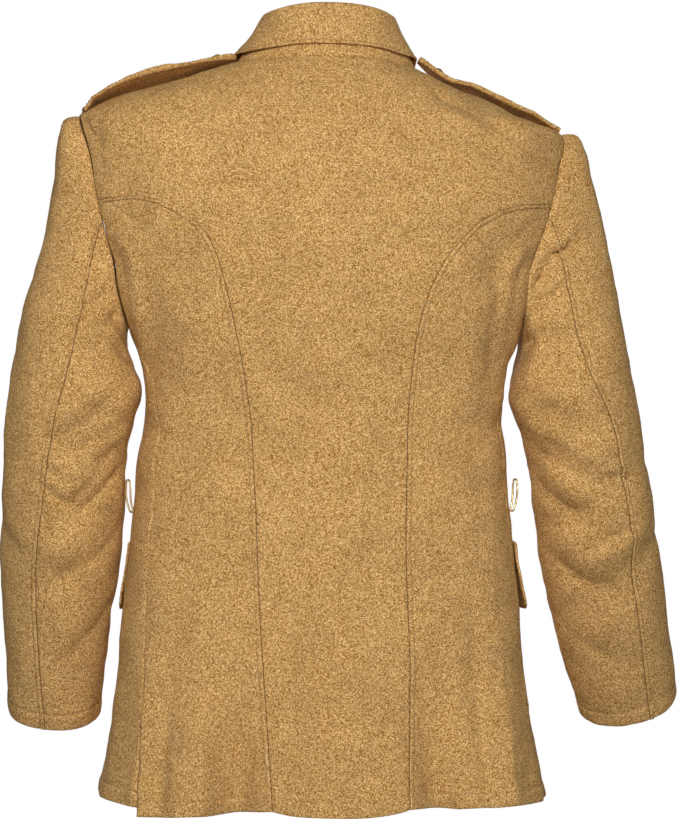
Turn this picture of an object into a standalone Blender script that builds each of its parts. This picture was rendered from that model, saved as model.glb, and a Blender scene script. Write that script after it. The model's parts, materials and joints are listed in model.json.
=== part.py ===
"""Military tunic in milled wool, built from its cut pieces as it fills out when worn.

The wearer's left is +X, the back is +Y and up is +Z. The origin is the middle of the neck
opening, at the height of the collar seam. Sizes are in metres and angles in degrees.
"""
import math
from collections import namedtuple

import bmesh
import bpy
import numpy as np

# Driving sizes
WALL = 0.0025             # milled wool, seams pressed open
SEAM = 0.0002             # half of the gap between two pieces at a seam
VENT_HEIGHT = 0.095       # side slit, from the hem up
VENT_LAP = 0.011          # how far the front runs behind the back at the slit
VENT_EASE = 0.060         # height over which that lap runs out
VENT_WIDTH = 0.15         # share of the front that steps in at the slit
HEM_DROP = {"left": 0.009, "right": 0.001}   # the back hangs lower at the slit
HEM_LIFT = 0.006          # the hem rises where the back folds in
LAP_STEP = WALL + 0.0009  # how far the front lies behind the back at the slit
FRONT_STEP = WALL + 0.0022   # how far the right front lies behind the left one
FRONT_LAP = 0.018         # half of the overlap of the two fronts
FRONT_STEP_FROM = 0.070   # half width where the right front starts to step in
FRONT_STEP_TO = 0.026     # half width where it has stepped in
FIRST_BUTTON = -0.128     # height of the top button
BUTTON_SPACING = 0.107
FRONT_BUTTON = 0.0240     # diameter
FRONT_BUTTON_HEIGHT = 0.0075
STRAP_BUTTON = 0.0135     # diameter
STRAP_BUTTON_HEIGHT = 0.0046
BUTTON_SIDES = 16
BUTTON_SEAT = 0.0006      # room under a front button
STRAP_BUTTON_SEAT = 0.0012
STRAP_CLOTH = 0.0042      # two layers pressed together
FLAP_CLOTH = 0.0030
WIRE = 0.0020             # diameter of the brass wire of the belt hooks

# Steps of the grids: rows along a seam, columns across a piece
SIDE_ROWS = 16
SIDE_BACK_TIP = 0.80      # share of its last row that the side back keeps, to end blunt
LOW_ARMHOLE_ROWS = 6
HIGH_ARMHOLE_ROWS = 3
SHOULDER_ROWS = 6
BACK_COLUMNS = 12
SIDE_BACK_COLUMNS = 5
FRONT_COLUMNS = 10
CAP_ROWS = 7
CAP_CROWDING = 1.5        # rows of the sleeve head draw together towards the armhole
ARM_ROWS = 13
BACK_SEAM_STEP = 5        # armhole point, from the underarm, where the sleeve's back seam starts
FRONT_SEAM_STEP = 3
ARMHOLE_ROWS = LOW_ARMHOLE_ROWS + HIGH_ARMHOLE_ROWS

# Rings round the body from hem to neck. z is the height at the left side, the right side,
# the middle of the back and of the front. half is the half width, back and front are the
# depths from the side line, and square is the exponent of the oval.
Ring = namedtuple("Ring", "name z_left z_right z_back z_front half_left half_right "
                          "back front square")
RINGS = (
    Ring("hem",        -0.7405, -0.7465, -0.7520, -0.745, 0.2300, 0.2255, 0.126, 0.128, 2.50),
    Ring("low_skirt",  -0.690, -0.690, -0.690, -0.690, 0.2208, 0.2145, 0.123, 0.126, 2.50),
    Ring("skirt",      -0.620, -0.620, -0.620, -0.620, 0.2112, 0.2040, 0.118, 0.123, 2.50),
    Ring("hip",        -0.550, -0.550, -0.550, -0.550, 0.2045, 0.1980, 0.113, 0.120, 2.45),
    Ring("low_waist",  -0.460, -0.460, -0.460, -0.460, 0.1945, 0.1895, 0.105, 0.114, 2.40),
    Ring("high_hip",   -0.405, -0.405, -0.405, -0.405, 0.1905, 0.1858, 0.102, 0.112, 2.38),
    Ring("waist",      -0.360, -0.360, -0.360, -0.360, 0.1828, 0.1815, 0.102, 0.112, 2.35),
    Ring("rib",        -0.315, -0.315, -0.312, -0.318, 0.1850, 0.1850, 0.109, 0.120, 2.35),
    Ring("underarm",   -0.272, -0.275, -0.262, -0.280, 0.1985, 0.1980, 0.118, 0.130, 2.35),
    Ring("chest",      -0.215, -0.220, -0.200, -0.230, 0.2220, 0.2180, 0.124, 0.133, 2.30),
    Ring("blade",      -0.155, -0.163, -0.140, -0.175, 0.2400, 0.2370, 0.124, 0.130, 2.30),
    Ring("yoke",       -0.100, -0.112, -0.095, -0.130, 0.2480, 0.2450, 0.115, 0.121, 2.20),
    Ring("tip",        -0.0555, -0.0715, -0.062, -0.102, 0.2490, 0.2425, 0.104, 0.110, 2.10),
    Ring("shoulder",   -0.0385, -0.0570, -0.043, -0.092, 0.2150, 0.2030, 0.095, 0.103, 2.05),
    Ring("mid_slope",  -0.0270, -0.0400, -0.028, -0.085, 0.1750, 0.1680, 0.086, 0.095, 2.05),
    Ring("slope",      -0.0140, -0.0260, -0.014, -0.079, 0.1370, 0.1340, 0.077, 0.087, 2.05),
    Ring("neck",       -0.0010, -0.0060, 0.000, -0.072, 0.0895, 0.0925, 0.067, 0.079, 2.05),
)

# The armhole, an oval loop between the underarm and the shoulder tip. depth is how far it
# reaches from the side line, skew moves its widest place down.
Armhole = namedtuple("Armhole", "side face depth skew")
ARMHOLES = (
    Armhole("left", "back", 0.047, 0.05),
    Armhole("left", "front", 0.055, 0.10),
    Armhole("right", "back", 0.055, 0.25),
    Armhole("right", "front", 0.055, 0.10),
)
ARMHOLE_ROUND = 0.80
JOIN_ANGLE = {"left": 1.81, "right": 1.86}   # radians round the armhole to the back seam

# Curved seam of the back, from the hem up to the armhole: half the width there and its height
SeamSpot = namedtuple("SeamSpot", "x z")
BACK_SEAM = {
    "left": (SeamSpot(0.0612, -0.7455), SeamSpot(0.0681, -0.636), SeamSpot(0.0749, -0.500),
             SeamSpot(0.0788, -0.402), SeamSpot(0.0866, -0.324), SeamSpot(0.0944, -0.285),
             SeamSpot(0.1075, -0.227), SeamSpot(0.1165, -0.198), SeamSpot(0.1275, -0.1785),
             SeamSpot(0.1415, -0.164), SeamSpot(0.1610, -0.152), SeamSpot(0.1815, -0.1445)),
    "right": (SeamSpot(0.0752, -0.7455), SeamSpot(0.0762, -0.620), SeamSpot(0.0725, -0.500),
              SeamSpot(0.0742, -0.420), SeamSpot(0.0781, -0.324), SeamSpot(0.0825, -0.285),
              SeamSpot(0.0939, -0.241), SeamSpot(0.1036, -0.218), SeamSpot(0.1145, -0.2005),
              SeamSpot(0.1265, -0.186), SeamSpot(0.1410, -0.172), SeamSpot(0.1615, -0.1595),
              SeamSpot(0.1860, -0.151)),
}
# Side seam: its angle behind the side line at each height
TurnAt = namedtuple("TurnAt", "z turn")
SIDE_SEAM = {
    "left": (TurnAt(-0.742, 38), TurnAt(-0.64, 33), TurnAt(-0.50, 27), TurnAt(-0.365, 23),
             TurnAt(-0.315, 16), TurnAt(-0.272, 0)),
    "right": (TurnAt(-0.742, 17), TurnAt(-0.64, 15), TurnAt(-0.50, 15), TurnAt(-0.365, 15),
              TurnAt(-0.315, 11), TurnAt(-0.275, 0)),
}

# Large soft folds of the body: a line from one spot to another on the back or the front,
# its width across, how far it stands out (or in, below zero) at each end
Fold = namedtuple("Fold", "name face x0 z0 x1 z1 width depth0 depth1")
BODY_FOLDS = (
    Fold("left_flute", 1, 0.100, -0.760, 0.088, -0.600, 0.024, -0.034, 0.000),
    Fold("left_flute_bank", 1, 0.150, -0.760, 0.128, -0.600, 0.026, 0.010, 0.000),
    Fold("right_flute", 1, -0.112, -0.760, -0.096, -0.600, 0.026, -0.030, 0.000),
    Fold("right_flute_bank", 1, -0.160, -0.760, -0.135, -0.600, 0.026, 0.008, 0.000),
    Fold("left_underarm", 1, 0.186, -0.345, 0.202, -0.225, 0.011, 0.001, 0.006),
    Fold("left_hollow", 1, 0.163, -0.335, 0.178, -0.220, 0.011, -0.001, -0.005),
    Fold("right_underarm", 1, -0.186, -0.345, -0.190, -0.235, 0.011, 0.001, 0.006),
    Fold("right_hollow", 1, -0.160, -0.335, -0.166, -0.225, 0.012, -0.001, -0.005),
    Fold("left_front_hollow", -1, 0.150, -0.330, 0.185, -0.200, 0.016, -0.001, -0.006),
    Fold("right_front_hollow", -1, -0.150, -0.330, -0.185, -0.200, 0.016, -0.001, -0.006),
    Fold("left_front_flute", -1, 0.120, -0.760, 0.105, -0.560, 0.030, -0.014, 0.000),
    Fold("right_front_flute", -1, -0.120, -0.760, -0.105, -0.560, 0.030, -0.014, 0.000),
)

# Rings round each sleeve, from the upper arm to the cuff: the middle of the ring, its half
# width, its half depth and where the back seam lies, as an angle from the outer side
SleeveRing = namedtuple("SleeveRing", "name x y z half_width half_depth seam_turn")
SLEEVE_RINGS = {
    "left": (SleeveRing("upper_arm", 0.2526, -0.004, -0.330, 0.0652, 0.064, 78),
             SleeveRing("biceps", 0.2588, -0.007, -0.362, 0.0640, 0.064, 76),
             SleeveRing("above_elbow", 0.2638, -0.011, -0.395, 0.0628, 0.063, 74),
             SleeveRing("elbow", 0.2652, -0.022, -0.450, 0.0630, 0.061, 69),
             SleeveRing("forearm", 0.2692, -0.040, -0.520, 0.0597, 0.058, 66),
             SleeveRing("low_forearm", 0.2725, -0.060, -0.590, 0.0534, 0.053, 70),
             SleeveRing("cuff", 0.2750, -0.086, -0.666, 0.0470, 0.050, 78)),
    "right": (SleeveRing("upper_arm", -0.2545, -0.004, -0.330, 0.0640, 0.064, 74),
              SleeveRing("biceps", -0.2640, -0.007, -0.362, 0.0615, 0.064, 68),
              SleeveRing("above_elbow", -0.2702, -0.011, -0.395, 0.0608, 0.063, 63),
              SleeveRing("elbow", -0.2802, -0.022, -0.450, 0.0622, 0.060, 63),
              SleeveRing("forearm", -0.2935, -0.042, -0.520, 0.0618, 0.056, 66),
              SleeveRing("low_forearm", -0.3110, -0.066, -0.590, 0.0585, 0.051, 67),
              SleeveRing("cuff", -0.3325, -0.100, -0.664, 0.0520, 0.047, 71)),
}
FRONT_SEAM_TURN = 232     # angle of the sleeve's hidden front seam from the outer side
ARMHOLE_MIDDLE = {"left": np.array([0.232, 0.0, -0.165]), "right": np.array([-0.229, 0.0, -0.172])}
UNDERARM_EASE = 0.0050    # how far the under sleeve stands off the body below the armhole

# Sleeve head: how far it springs out and up from a straight line, at shares of the way
# from the armhole down to the upper arm
HeadSpot = namedtuple("HeadSpot", "share out up")
SLEEVE_HEAD = {
    "left": (HeadSpot(0.00, 0.0, 0.0), HeadSpot(0.03, 0.0112, 0.0052),
             HeadSpot(0.08, 0.0150, 0.0025), HeadSpot(0.16, 0.0125, 0.0),
             HeadSpot(0.34, 0.0042, 0.0), HeadSpot(0.50, 0.0, 0.0),
             HeadSpot(0.70, 0.0015, 0.0), HeadSpot(1.00, 0.0, 0.0)),
    "right": (HeadSpot(0.00, 0.0, 0.0), HeadSpot(0.03, 0.0120, 0.0075),
              HeadSpot(0.08, 0.0180, 0.0050), HeadSpot(0.16, 0.0172, 0.0010),
              HeadSpot(0.34, 0.0148, 0.0), HeadSpot(0.50, 0.0105, 0.0),
              HeadSpot(0.75, 0.0030, 0.0), HeadSpot(1.00, 0.0, 0.0)),
}

# Creases of the sleeves: angle from the outer side, how far down the arm, how far round
# they run, width, slant and depth
Crease = namedtuple("Crease", "name side turn down round width slant depth")
CREASES = (
    Crease("elbow_left", "left", 120, 0.118, 48, 0.013, 0.020, -0.0060),
    Crease("elbow_left_high", "left", 135, 0.060, 40, 0.012, -0.015, -0.0045),
    Crease("elbow_left_bulge", "left", 85, 0.150, 55, 0.020, 0.010, 0.0040),
    Crease("forearm_left", "left", 130, 0.205, 45, 0.014, 0.035, -0.0045),
    Crease("cap_left", "left", 120, -0.020, 45, 0.014, 0.030, -0.0045),
    Crease("bunch_left", "left", 150, -0.008, 32, 0.030, 0.0, 0.0060),
    Crease("bunch_right", "right", 150, -0.004, 32, 0.034, 0.0, 0.0070),
    Crease("elbow_right", "right", 125, 0.120, 50, 0.013, 0.022, -0.0060),
    Crease("elbow_right_high", "right", 140, 0.060, 42, 0.012, 0.020, -0.0045),
    Crease("elbow_right_bulge", "right", 75, 0.150, 50, 0.020, 0.010, 0.0050),
    Crease("forearm_right", "right", 125, 0.215, 45, 0.015, 0.030, -0.0045),
    Crease("cap_right", "right", 115, -0.030, 45, 0.014, 0.035, -0.0050),
)

# Collar: heights and half sizes of the fold line, and how long the fall is
COLLAR_TOP = {"half_left": 0.0612, "half_right": 0.0685, "back": 0.0500, "front": 0.0640,
              "z_side": 0.0440, "z_back": 0.0520, "z_front": -0.0420, "square": 2.30}
COLLAR_STATIONS = (0, 15, 30, 45, 60, 75, 90, 105, 120, 135, 148, 158, 166, 173, 178.8)
FALL_BACK = 0.0425
FALL_SIDE = 0.0475
FALL_POINT = 0.073
FALL_SPREAD = 0.110       # how fast the two points part
FALL_CLOTH = 0.0023
FALL_STAND = 0.0036       # from the stand's cloth to the outside of the fall
FALL_CHEST = 0.0050       # from the chest's cloth to the outside of the fall
FALL_ROWS = 4
# Roll of the collar over its fold line, from the fall's outside round to its inside
RollSpot = namedtuple("RollSpot", "out up")
ROLL = (RollSpot(0.0016, 0.0031), RollSpot(-0.0020, 0.0033), RollSpot(-0.0047, 0.0010),
        RollSpot(-0.0052, -0.0050), RollSpot(-0.0031, -0.0050), RollSpot(-0.0029, 0.0006),
        RollSpot(0.0006, 0.0007))

# Shoulder straps: stations from the sleeve end to the collar end, with the height of the
# top, the width and how far the front edge hangs below the back one
StrapSpot = namedtuple("StrapSpot", "x z width droop")
STRAPS = {
    "left": (StrapSpot(0.2452, -0.0518, 0.056, 0.002), StrapSpot(0.2375, -0.0385, 0.056, 0.004),
             StrapSpot(0.2200, -0.0272, 0.055, 0.008), StrapSpot(0.2000, -0.0176, 0.053, 0.011),
             StrapSpot(0.1750, -0.0100, 0.050, 0.013), StrapSpot(0.1500, -0.0038, 0.047, 0.012),
             StrapSpot(0.1240, 0.0016, 0.044, 0.008), StrapSpot(0.1060, 0.0046, 0.040, 0.004),
             StrapSpot(0.0990, 0.0056, 0.030, 0.002), StrapSpot(0.0955, 0.0060, 0.016, 0.001)),
    "right": (StrapSpot(-0.2395, -0.0672, 0.056, 0.002), StrapSpot(-0.2265, -0.0588, 0.056, 0.004),
              StrapSpot(-0.2130, -0.0498, 0.055, 0.007), StrapSpot(-0.1935, -0.0422, 0.053, 0.007),
              StrapSpot(-0.1670, -0.0288, 0.050, 0.005), StrapSpot(-0.1490, -0.0206, 0.047, 0.002),
              StrapSpot(-0.1285, -0.0162, 0.044, 0.003), StrapSpot(-0.1150, -0.0080, 0.040, 0.001),
              StrapSpot(-0.1020, 0.0030, 0.030, 0.0), StrapSpot(-0.0980, 0.0058, 0.016, 0.0)),
}
# Section of a strap: place across, from the back edge (1) to the front edge (-1), and share
# of the thickness down from the top
STRAP_SECTION = ((0.0, -0.12), (0.55, -0.08), (0.94, 0.05), (1.0, 0.5), (0.94, 0.95),
                 (0.0, 1.0), (-0.94, 0.95), (-1.0, 0.5), (-0.94, 0.05), (-0.55, -0.08))
STRAP_SEAT = 0.0003       # least room under a strap
DROOP_POWER = 1.3         # how the hang of a strap grows towards its front edge
STRAP_BUTTON_X = {"left": 0.1085, "right": 0.1160}

# Hip pocket flaps and belt hooks
FLAP_TOP = -0.488
FLAP_HEIGHT = 0.070
FLAP_CORNER = 0.006       # how much shorter the corners are
FLAP_GAP = 0.0007         # between the flap's top and the front
FLAP_TURNS = {"left": (-4.0, -66.0), "right": (7.0, -58.0)}
FLAP_COLUMNS = 8
FLAP_ROWS = 3
FLAP_STAND = {"left": 0.0016, "right": 0.0055}   # how far the lower edge stands off
HOOK_FOOT = -0.457
HOOK_TOP = -0.424
HOOK_HALF_WIDTH = 0.0045
HOOK_STAND = 0.0034       # how far the wire stands off at its foot
HOOK_LEAN = 0.0034        # how much further it stands off at its tip
HOOK_BEND = 0.0030
HOOK_ROOT = 0.0012        # where the wire starts, just clear of the cloth
HOOK_TURN = 3.0

# Colours, roughness and metallic value
CLOTH = ((0.42, 0.27, 0.115), 0.92, 0.0)
BRASS = ((0.72, 0.55, 0.24), 0.32, 1.0)


def clear_scene():
    for thing in list(bpy.data.objects):
        bpy.data.objects.remove(thing, do_unlink=True)


def material(name, look):
    colour, roughness, metallic = look
    made = bpy.data.materials.get(name)
    if made is None:
        made = bpy.data.materials.new(name)
        made.use_nodes = True
        shader = made.node_tree.nodes["Principled BSDF"]
        shader.inputs["Base Color"].default_value = (*colour, 1.0)
        shader.inputs["Roughness"].default_value = roughness
        shader.inputs["Metallic"].default_value = metallic
    return made


def curve_at(knots, values, at):
    """Smooth curve through rows of values, read at one place."""
    slopes = np.gradient(values, knots, axis=0)
    i = int(np.clip(np.searchsorted(knots, at, side="right") - 1, 0, len(knots) - 2))
    span = knots[i + 1] - knots[i]
    t = (at - knots[i]) / span
    return ((2 * t**3 - 3 * t**2 + 1) * values[i] + (t**3 - 2 * t**2 + t) * span * slopes[i]
            + (-2 * t**3 + 3 * t**2) * values[i + 1] + (t**3 - t**2) * span * slopes[i + 1])


def unit(vector):
    return vector / np.linalg.norm(vector)


def smooth_step(low, high, at):
    t = min(max((at - low) / (high - low), 0.0), 1.0)
    return t * t * (3 - 2 * t)


def ring_levels():
    """Distance up the cloth from the hem to each ring, between its side and its back."""
    levels = [0.0]
    for low, high in zip(RINGS, RINGS[1:]):
        side = math.hypot(high.half_left - low.half_left, high.z_left - low.z_left)
        back = math.hypot(high.back - low.back, high.z_back - low.z_back)
        levels.append(levels[-1] + (side + back) / 2)
    return np.array(levels)


LEVELS = ring_levels()
RING_VALUES = np.array([ring[1:] for ring in RINGS])
LEVEL_OF = {ring.name: level for ring, level in zip(RINGS, LEVELS)}


def ring_at(level):
    return Ring("between", *curve_at(LEVELS, RING_VALUES, level))


def body_plain(angle, level):
    """Body surface before its folds. angle is 0 at the left side and 90 degrees at the back."""
    ring = ring_at(level)
    c, s = math.cos(angle), math.sin(angle)
    half, z_side = (ring.half_left, ring.z_left) if c > 0 else (ring.half_right, ring.z_right)
    depth, z_end = (ring.back, ring.z_back) if s > 0 else (ring.front, ring.z_front)
    power = 2.0 / ring.square
    return np.array([math.copysign(half * abs(c) ** power, c),
                     math.copysign(depth * abs(s) ** power, s),
                     z_side * c * c + z_end * s * s])


def fold_height(point):
    """How far the soft folds lift a spot of the body off its plain surface."""
    lift = 0.0
    for fold in BODY_FOLDS:
        face = smooth_step(0.0, 0.035, point[1] * fold.face)
        run = np.array([fold.x1 - fold.x0, fold.z1 - fold.z0])
        reach = np.array([point[0] - fold.x0, point[2] - fold.z0])
        length = np.linalg.norm(run)
        along = float(reach @ run) / length**2
        across = float(reach[0] * run[1] - reach[1] * run[0]) / length
        depth = fold.depth0 + (fold.depth1 - fold.depth0) * min(max(along, 0.0), 1.0)
        ends = smooth_step(-0.25, 0.05, along) * (1 - smooth_step(0.95, 1.25, along))
        lift += face * ends * depth * math.exp(-(across / fold.width) ** 2)
    return lift


def normal_of(surface, a, b):
    """Outward direction of a surface at one spot; a runs round and b runs up."""
    step = 1e-4
    round_way = surface(a + step * 5, b) - surface(a - step * 5, b)
    up_way = surface(a, b + step) - surface(a, b - step)
    return unit(np.cross(round_way, up_way))


def body(angle, level):
    plain = body_plain(angle, level)
    return plain + normal_of(body_plain, angle, level) * fold_height(plain)


def body_normal(angle, level):
    return normal_of(body, angle, level)


def side_angle(side, turn):
    """Angle round the body of a spot that is turned back from the side line, in radians."""
    return turn if side == "left" else math.pi - turn


def armhole_spot(side, face, swing):
    """Angle and level of a spot on the armhole, swing 0 at the underarm and pi at the tip."""
    hole = next(row for row in ARMHOLES if row.side == side and row.face == face)
    rise = (1 - math.cos(swing)) / 2
    level = LEVEL_OF["underarm"] + (LEVEL_OF["tip"] - LEVEL_OF["underarm"]) * rise
    ring = ring_at(level)
    reach = hole.depth * abs(math.sin(swing)) ** ARMHOLE_ROUND * (1 + hole.skew * math.cos(swing))
    depth = ring.back if face == "back" else ring.front
    turn = math.asin((reach / depth) ** (ring.square / 2))
    return side_angle(side, turn if face == "back" else -turn), level


def back_swings(side):
    low = np.linspace(0.0, JOIN_ANGLE[side], LOW_ARMHOLE_ROWS + 1)
    high = np.linspace(JOIN_ANGLE[side], math.pi, HIGH_ARMHOLE_ROWS + 1)
    return np.concatenate([low, high[1:]])


def front_swings():
    return np.linspace(0.0, math.pi, ARMHOLE_ROWS + 1)


def spot_from_size(side, x, z):
    """Angle and level of the spot of the back at a half width and a height."""
    low, high = 0.0, LEVELS[-1]
    for _ in range(40):
        level = (low + high) / 2
        ring = ring_at(level)
        half = ring.half_left if side == "left" else ring.half_right
        turn = math.acos(min(x / half, 1.0) ** (ring.square / 2))
        if body_plain(side_angle(side, turn), level)[2] < z:
            low = level
        else:
            high = level
    return side_angle(side, turn), level


def even_points(spots, count):
    """Spots at even steps of cloth along a smooth curve through some spots."""
    spots = np.array(spots)
    places = np.array([body_plain(*spot) for spot in spots])
    knots = np.concatenate([[0], np.cumsum(np.linalg.norm(np.diff(places, axis=0), axis=1))])
    return np.array([curve_at(knots, spots, at) for at in np.linspace(0, knots[-1], count + 1)])


def back_seam(side):
    spots = [spot_from_size(side, spot.x, spot.z) for spot in BACK_SEAM[side]]
    spots[0] = (spots[0][0], HEM_LIFT)
    spots.append(armhole_spot(side, "back", JOIN_ANGLE[side]))
    return even_points(spots, SIDE_ROWS + LOW_ARMHOLE_ROWS)


def side_seam(side):
    heights = np.array([row.z for row in SIDE_SEAM[side]])
    turns = np.array([math.radians(row.turn) for row in SIDE_SEAM[side]])
    spots = []
    for level in np.linspace(0.0, LEVEL_OF["underarm"], SIDE_ROWS + 1):
        ring = ring_at(level)
        z_side = ring.z_left if side == "left" else ring.z_right
        spots.append((side_angle(side, float(curve_at(heights, turns, z_side))), level))
    spots[-1] = armhole_spot(side, "back", 0.0)
    return np.array(spots)


def back_armhole(side):
    return np.array([armhole_spot(side, "back", swing) for swing in back_swings(side)])


def front_armhole(side):
    return np.array([armhole_spot(side, "front", swing) for swing in front_swings()])


def shoulder_seam(side):
    levels = np.linspace(LEVEL_OF["tip"], LEVEL_OF["neck"], SHOULDER_ROWS + 1)
    return np.array([(side_angle(side, 0.0), level) for level in levels])


def edge_tangent(points, i):
    return unit(points[min(i + 1, len(points) - 1)] - points[max(i - 1, 0)])


def open_seams(points, normals):
    """Draw the four edges of a grid in, so that it stays clear of the next piece."""
    rows, columns = points.shape[:2]
    moved = points.copy()
    edges = ((0, slice(None), 1), (rows - 1, slice(None), rows - 2),
             (slice(None), 0, 1), (slice(None), columns - 1, columns - 2))
    for row, column, inner in edges:
        line, line_normals = points[row, column], normals[row, column]
        inside = points[inner, column] if isinstance(row, int) else points[row, inner]
        pull = np.zeros_like(line)
        for i in range(len(line)):
            across = np.cross(line_normals[i], edge_tangent(line, i))
            pull[i] = across * math.copysign(SEAM, float(across @ (inside[i] - line[i])))
        moved[row, column] += pull
    return moved


def link_mesh(name, points, faces, look_name, look, smooth=True):
    mesh = bpy.data.meshes.new(name)
    mesh.from_pydata([tuple(point) for point in points], [], faces)
    shape = bmesh.new()
    shape.from_mesh(mesh)
    bmesh.ops.recalc_face_normals(shape, faces=shape.faces)
    shape.to_mesh(mesh)
    shape.free()
    mesh.materials.append(material(look_name, look))
    if smooth:
        mesh.shade_smooth()
        mesh.set_sharp_from_angle(angle=math.radians(50))
    thing = bpy.data.objects.new(name, mesh)
    bpy.context.scene.collection.objects.link(thing)
    return thing


def cloth_wall(name, outer, normals, wall=WALL, look_name="wool", look=CLOTH):
    """Closed wall of cloth: a grid of outer points, the same grid moved in, and four edges."""
    rows, columns = outer.shape[:2]
    inner = outer - normals * wall
    points = np.concatenate([outer.reshape(-1, 3), inner.reshape(-1, 3)])
    count = rows * columns
    faces = []
    for i in range(rows - 1):
        for j in range(columns - 1):
            a, b = i * columns + j, i * columns + j + 1
            c, d = b + columns, a + columns
            faces += [(a, b, c), (a, c, d), (a + count, c + count, b + count),
                      (a + count, d + count, c + count)]
    rim = ([j for j in range(columns)]
           + [i * columns + columns - 1 for i in range(1, rows)]
           + [(rows - 1) * columns + j for j in range(columns - 2, -1, -1)]
           + [i * columns for i in range(rows - 2, 0, -1)])
    for a, b in zip(rim, rim[1:] + rim[:1]):
        faces += [(a, a + count, b + count), (a, b + count, b)]
    return link_mesh(name, points, faces, look_name, look)


def grid_of(spots, surface=body, normal=body_normal):
    """Points and outward directions of a grid of spots."""
    points = np.array([[surface(*spot) for spot in row] for row in spots])
    normals = np.array([[normal(*spot) for spot in row] for row in spots])
    return points, normals


def body_piece(name, spots, drop=None):
    """A panel of the body. drop says how far each spot lies behind the surface."""
    points, normals = grid_of(spots)
    if drop is not None:
        points = points - normals * drop[:, :, None]
    return cloth_wall(name, open_seams(points, normals), normals)


def make_center_back():
    left = np.concatenate([back_seam("left"), back_armhole("left")[LOW_ARMHOLE_ROWS + 1:],
                           shoulder_seam("left")[1:]])
    right = np.concatenate([back_seam("right"), back_armhole("right")[LOW_ARMHOLE_ROWS + 1:],
                            shoulder_seam("right")[1:]])
    join = SIDE_ROWS + LOW_ARMHOLE_ROWS
    middle = np.concatenate([np.linspace(0.0, LEVEL_OF["yoke"], join + 1),
                             np.linspace(LEVEL_OF["yoke"], LEVELS[-1], len(left) - join)[1:]])
    spots = np.zeros((len(left), BACK_COLUMNS + 1, 2))
    for i, level in enumerate(middle):
        for j, share in enumerate(np.linspace(0, 1, BACK_COLUMNS + 1)):
            edge = left[i][1] if share < 0.5 else right[i][1]
            spots[i, j] = (left[i][0] + (right[i][0] - left[i][0]) * share,
                           level + (edge - level) * abs(2 * share - 1) ** 2)
    body_piece("center_back", spots)


def make_side_back(side):
    inner = back_seam(side)
    outer = np.concatenate([side_seam(side), back_armhole(side)[1:LOW_ARMHOLE_ROWS + 1]])
    outer[0][1] -= HEM_DROP[side]
    inner[-1] = inner[-2] + (inner[-1] - inner[-2]) * SIDE_BACK_TIP
    outer[-1] = outer[-2] + (outer[-1] - outer[-2]) * SIDE_BACK_TIP
    shares = np.linspace(0, 1, SIDE_BACK_COLUMNS + 1)[None, :, None]
    spots = inner[:, None, :] * (1 - shares) + outer[:, None, :] * shares
    body_piece("side_back_" + side, spots)


def front_edge(side, level):
    """Angle of a front's free edge, a little past the middle of the body."""
    ring = ring_at(level)
    half = ring.half_right if side == "left" else ring.half_left
    past = math.asin((FRONT_LAP / half) ** (ring.square / 2))
    return side_angle(side, -(math.pi / 2 + past))


def make_front(side):
    seam = side_seam(side)
    armhole = front_armhole(side)
    outer = np.concatenate([seam, armhole[1:], shoulder_seam(side)[1:]])
    levels = np.linspace(0.0, LEVELS[-1], len(outer))
    inner = np.array([(front_edge(side, level), level) for level in levels])
    vent_turn = math.copysign(1.0, outer[0][0] - inner[0][0])
    heights = np.array([body_plain(*spot)[2] for spot in outer])
    drop = np.zeros((len(outer), FRONT_COLUMNS + 1))
    shares = np.linspace(0, 1, FRONT_COLUMNS + 1)
    for i in range(len(outer)):
        above_hem = heights[i] - heights[0]
        if above_hem < VENT_HEIGHT:
            drop[i] += LAP_STEP * np.clip(1 - shares / VENT_WIDTH, 0, 1)
            lap = VENT_LAP * smooth_step(VENT_HEIGHT, VENT_HEIGHT - VENT_EASE, above_hem)
            outer[i][0] += vent_turn * lap / RINGS[0].half_left
    spots = np.zeros((len(outer), FRONT_COLUMNS + 1, 2))
    for i in range(len(outer)):
        for j, share in enumerate(shares):
            spots[i, j] = outer[i] + (inner[i] - outer[i]) * share
    if side == "right":
        for i, row in enumerate(spots):
            for j, spot in enumerate(row):
                x = body_plain(*spot)[0]
                drop[i, j] += FRONT_STEP * smooth_step(-FRONT_STEP_FROM, -FRONT_STEP_TO, x)
    body_piece("front_" + side, spots, drop)


def sleeve_ring(side, down):
    """Ring of a sleeve, down metres along its middle line from the upper arm."""
    rings = SLEEVE_RINGS[side]
    table = np.array([row[1:] for row in rings])
    middles = table[:, :3]
    knots = np.concatenate([[0], np.cumsum(np.linalg.norm(np.diff(middles, axis=0), axis=1))])
    row = curve_at(knots, table, down)
    ahead = curve_at(knots, table, down + 0.004)[:3] - curve_at(knots, table, down - 0.004)[:3]
    return row, unit(ahead), knots[-1]


def crease_height(side, turn, down):
    lift = 0.0
    for crease in CREASES:
        if crease.side != side:
            continue
        apart = (turn - math.radians(crease.turn) + math.pi) % (2 * math.pi) - math.pi
        reach = apart / math.radians(crease.round)
        across = (down - crease.down - crease.slant * apart) / crease.width
        lift += crease.depth * math.exp(-reach * reach - across * across)
    return lift


def sleeve_tube(side, turn, down):
    """Spot of the sleeve below the upper arm; turn is 0 at the outer side, 90 at the back."""
    row, along, _ = sleeve_ring(side, down)
    outward = 1.0 if side == "left" else -1.0
    out = np.array([outward, 0, 0])
    out = unit(out - along * float(out @ along))
    back = np.cross(along, out) * -outward
    return (row[:3] + out * row[3] * math.cos(turn) + back * row[4] * math.sin(turn))


def seam_turns(side, down):
    row, _, _ = sleeve_ring(side, down)
    return math.radians(row[5]), math.radians(FRONT_SEAM_TURN)


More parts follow.
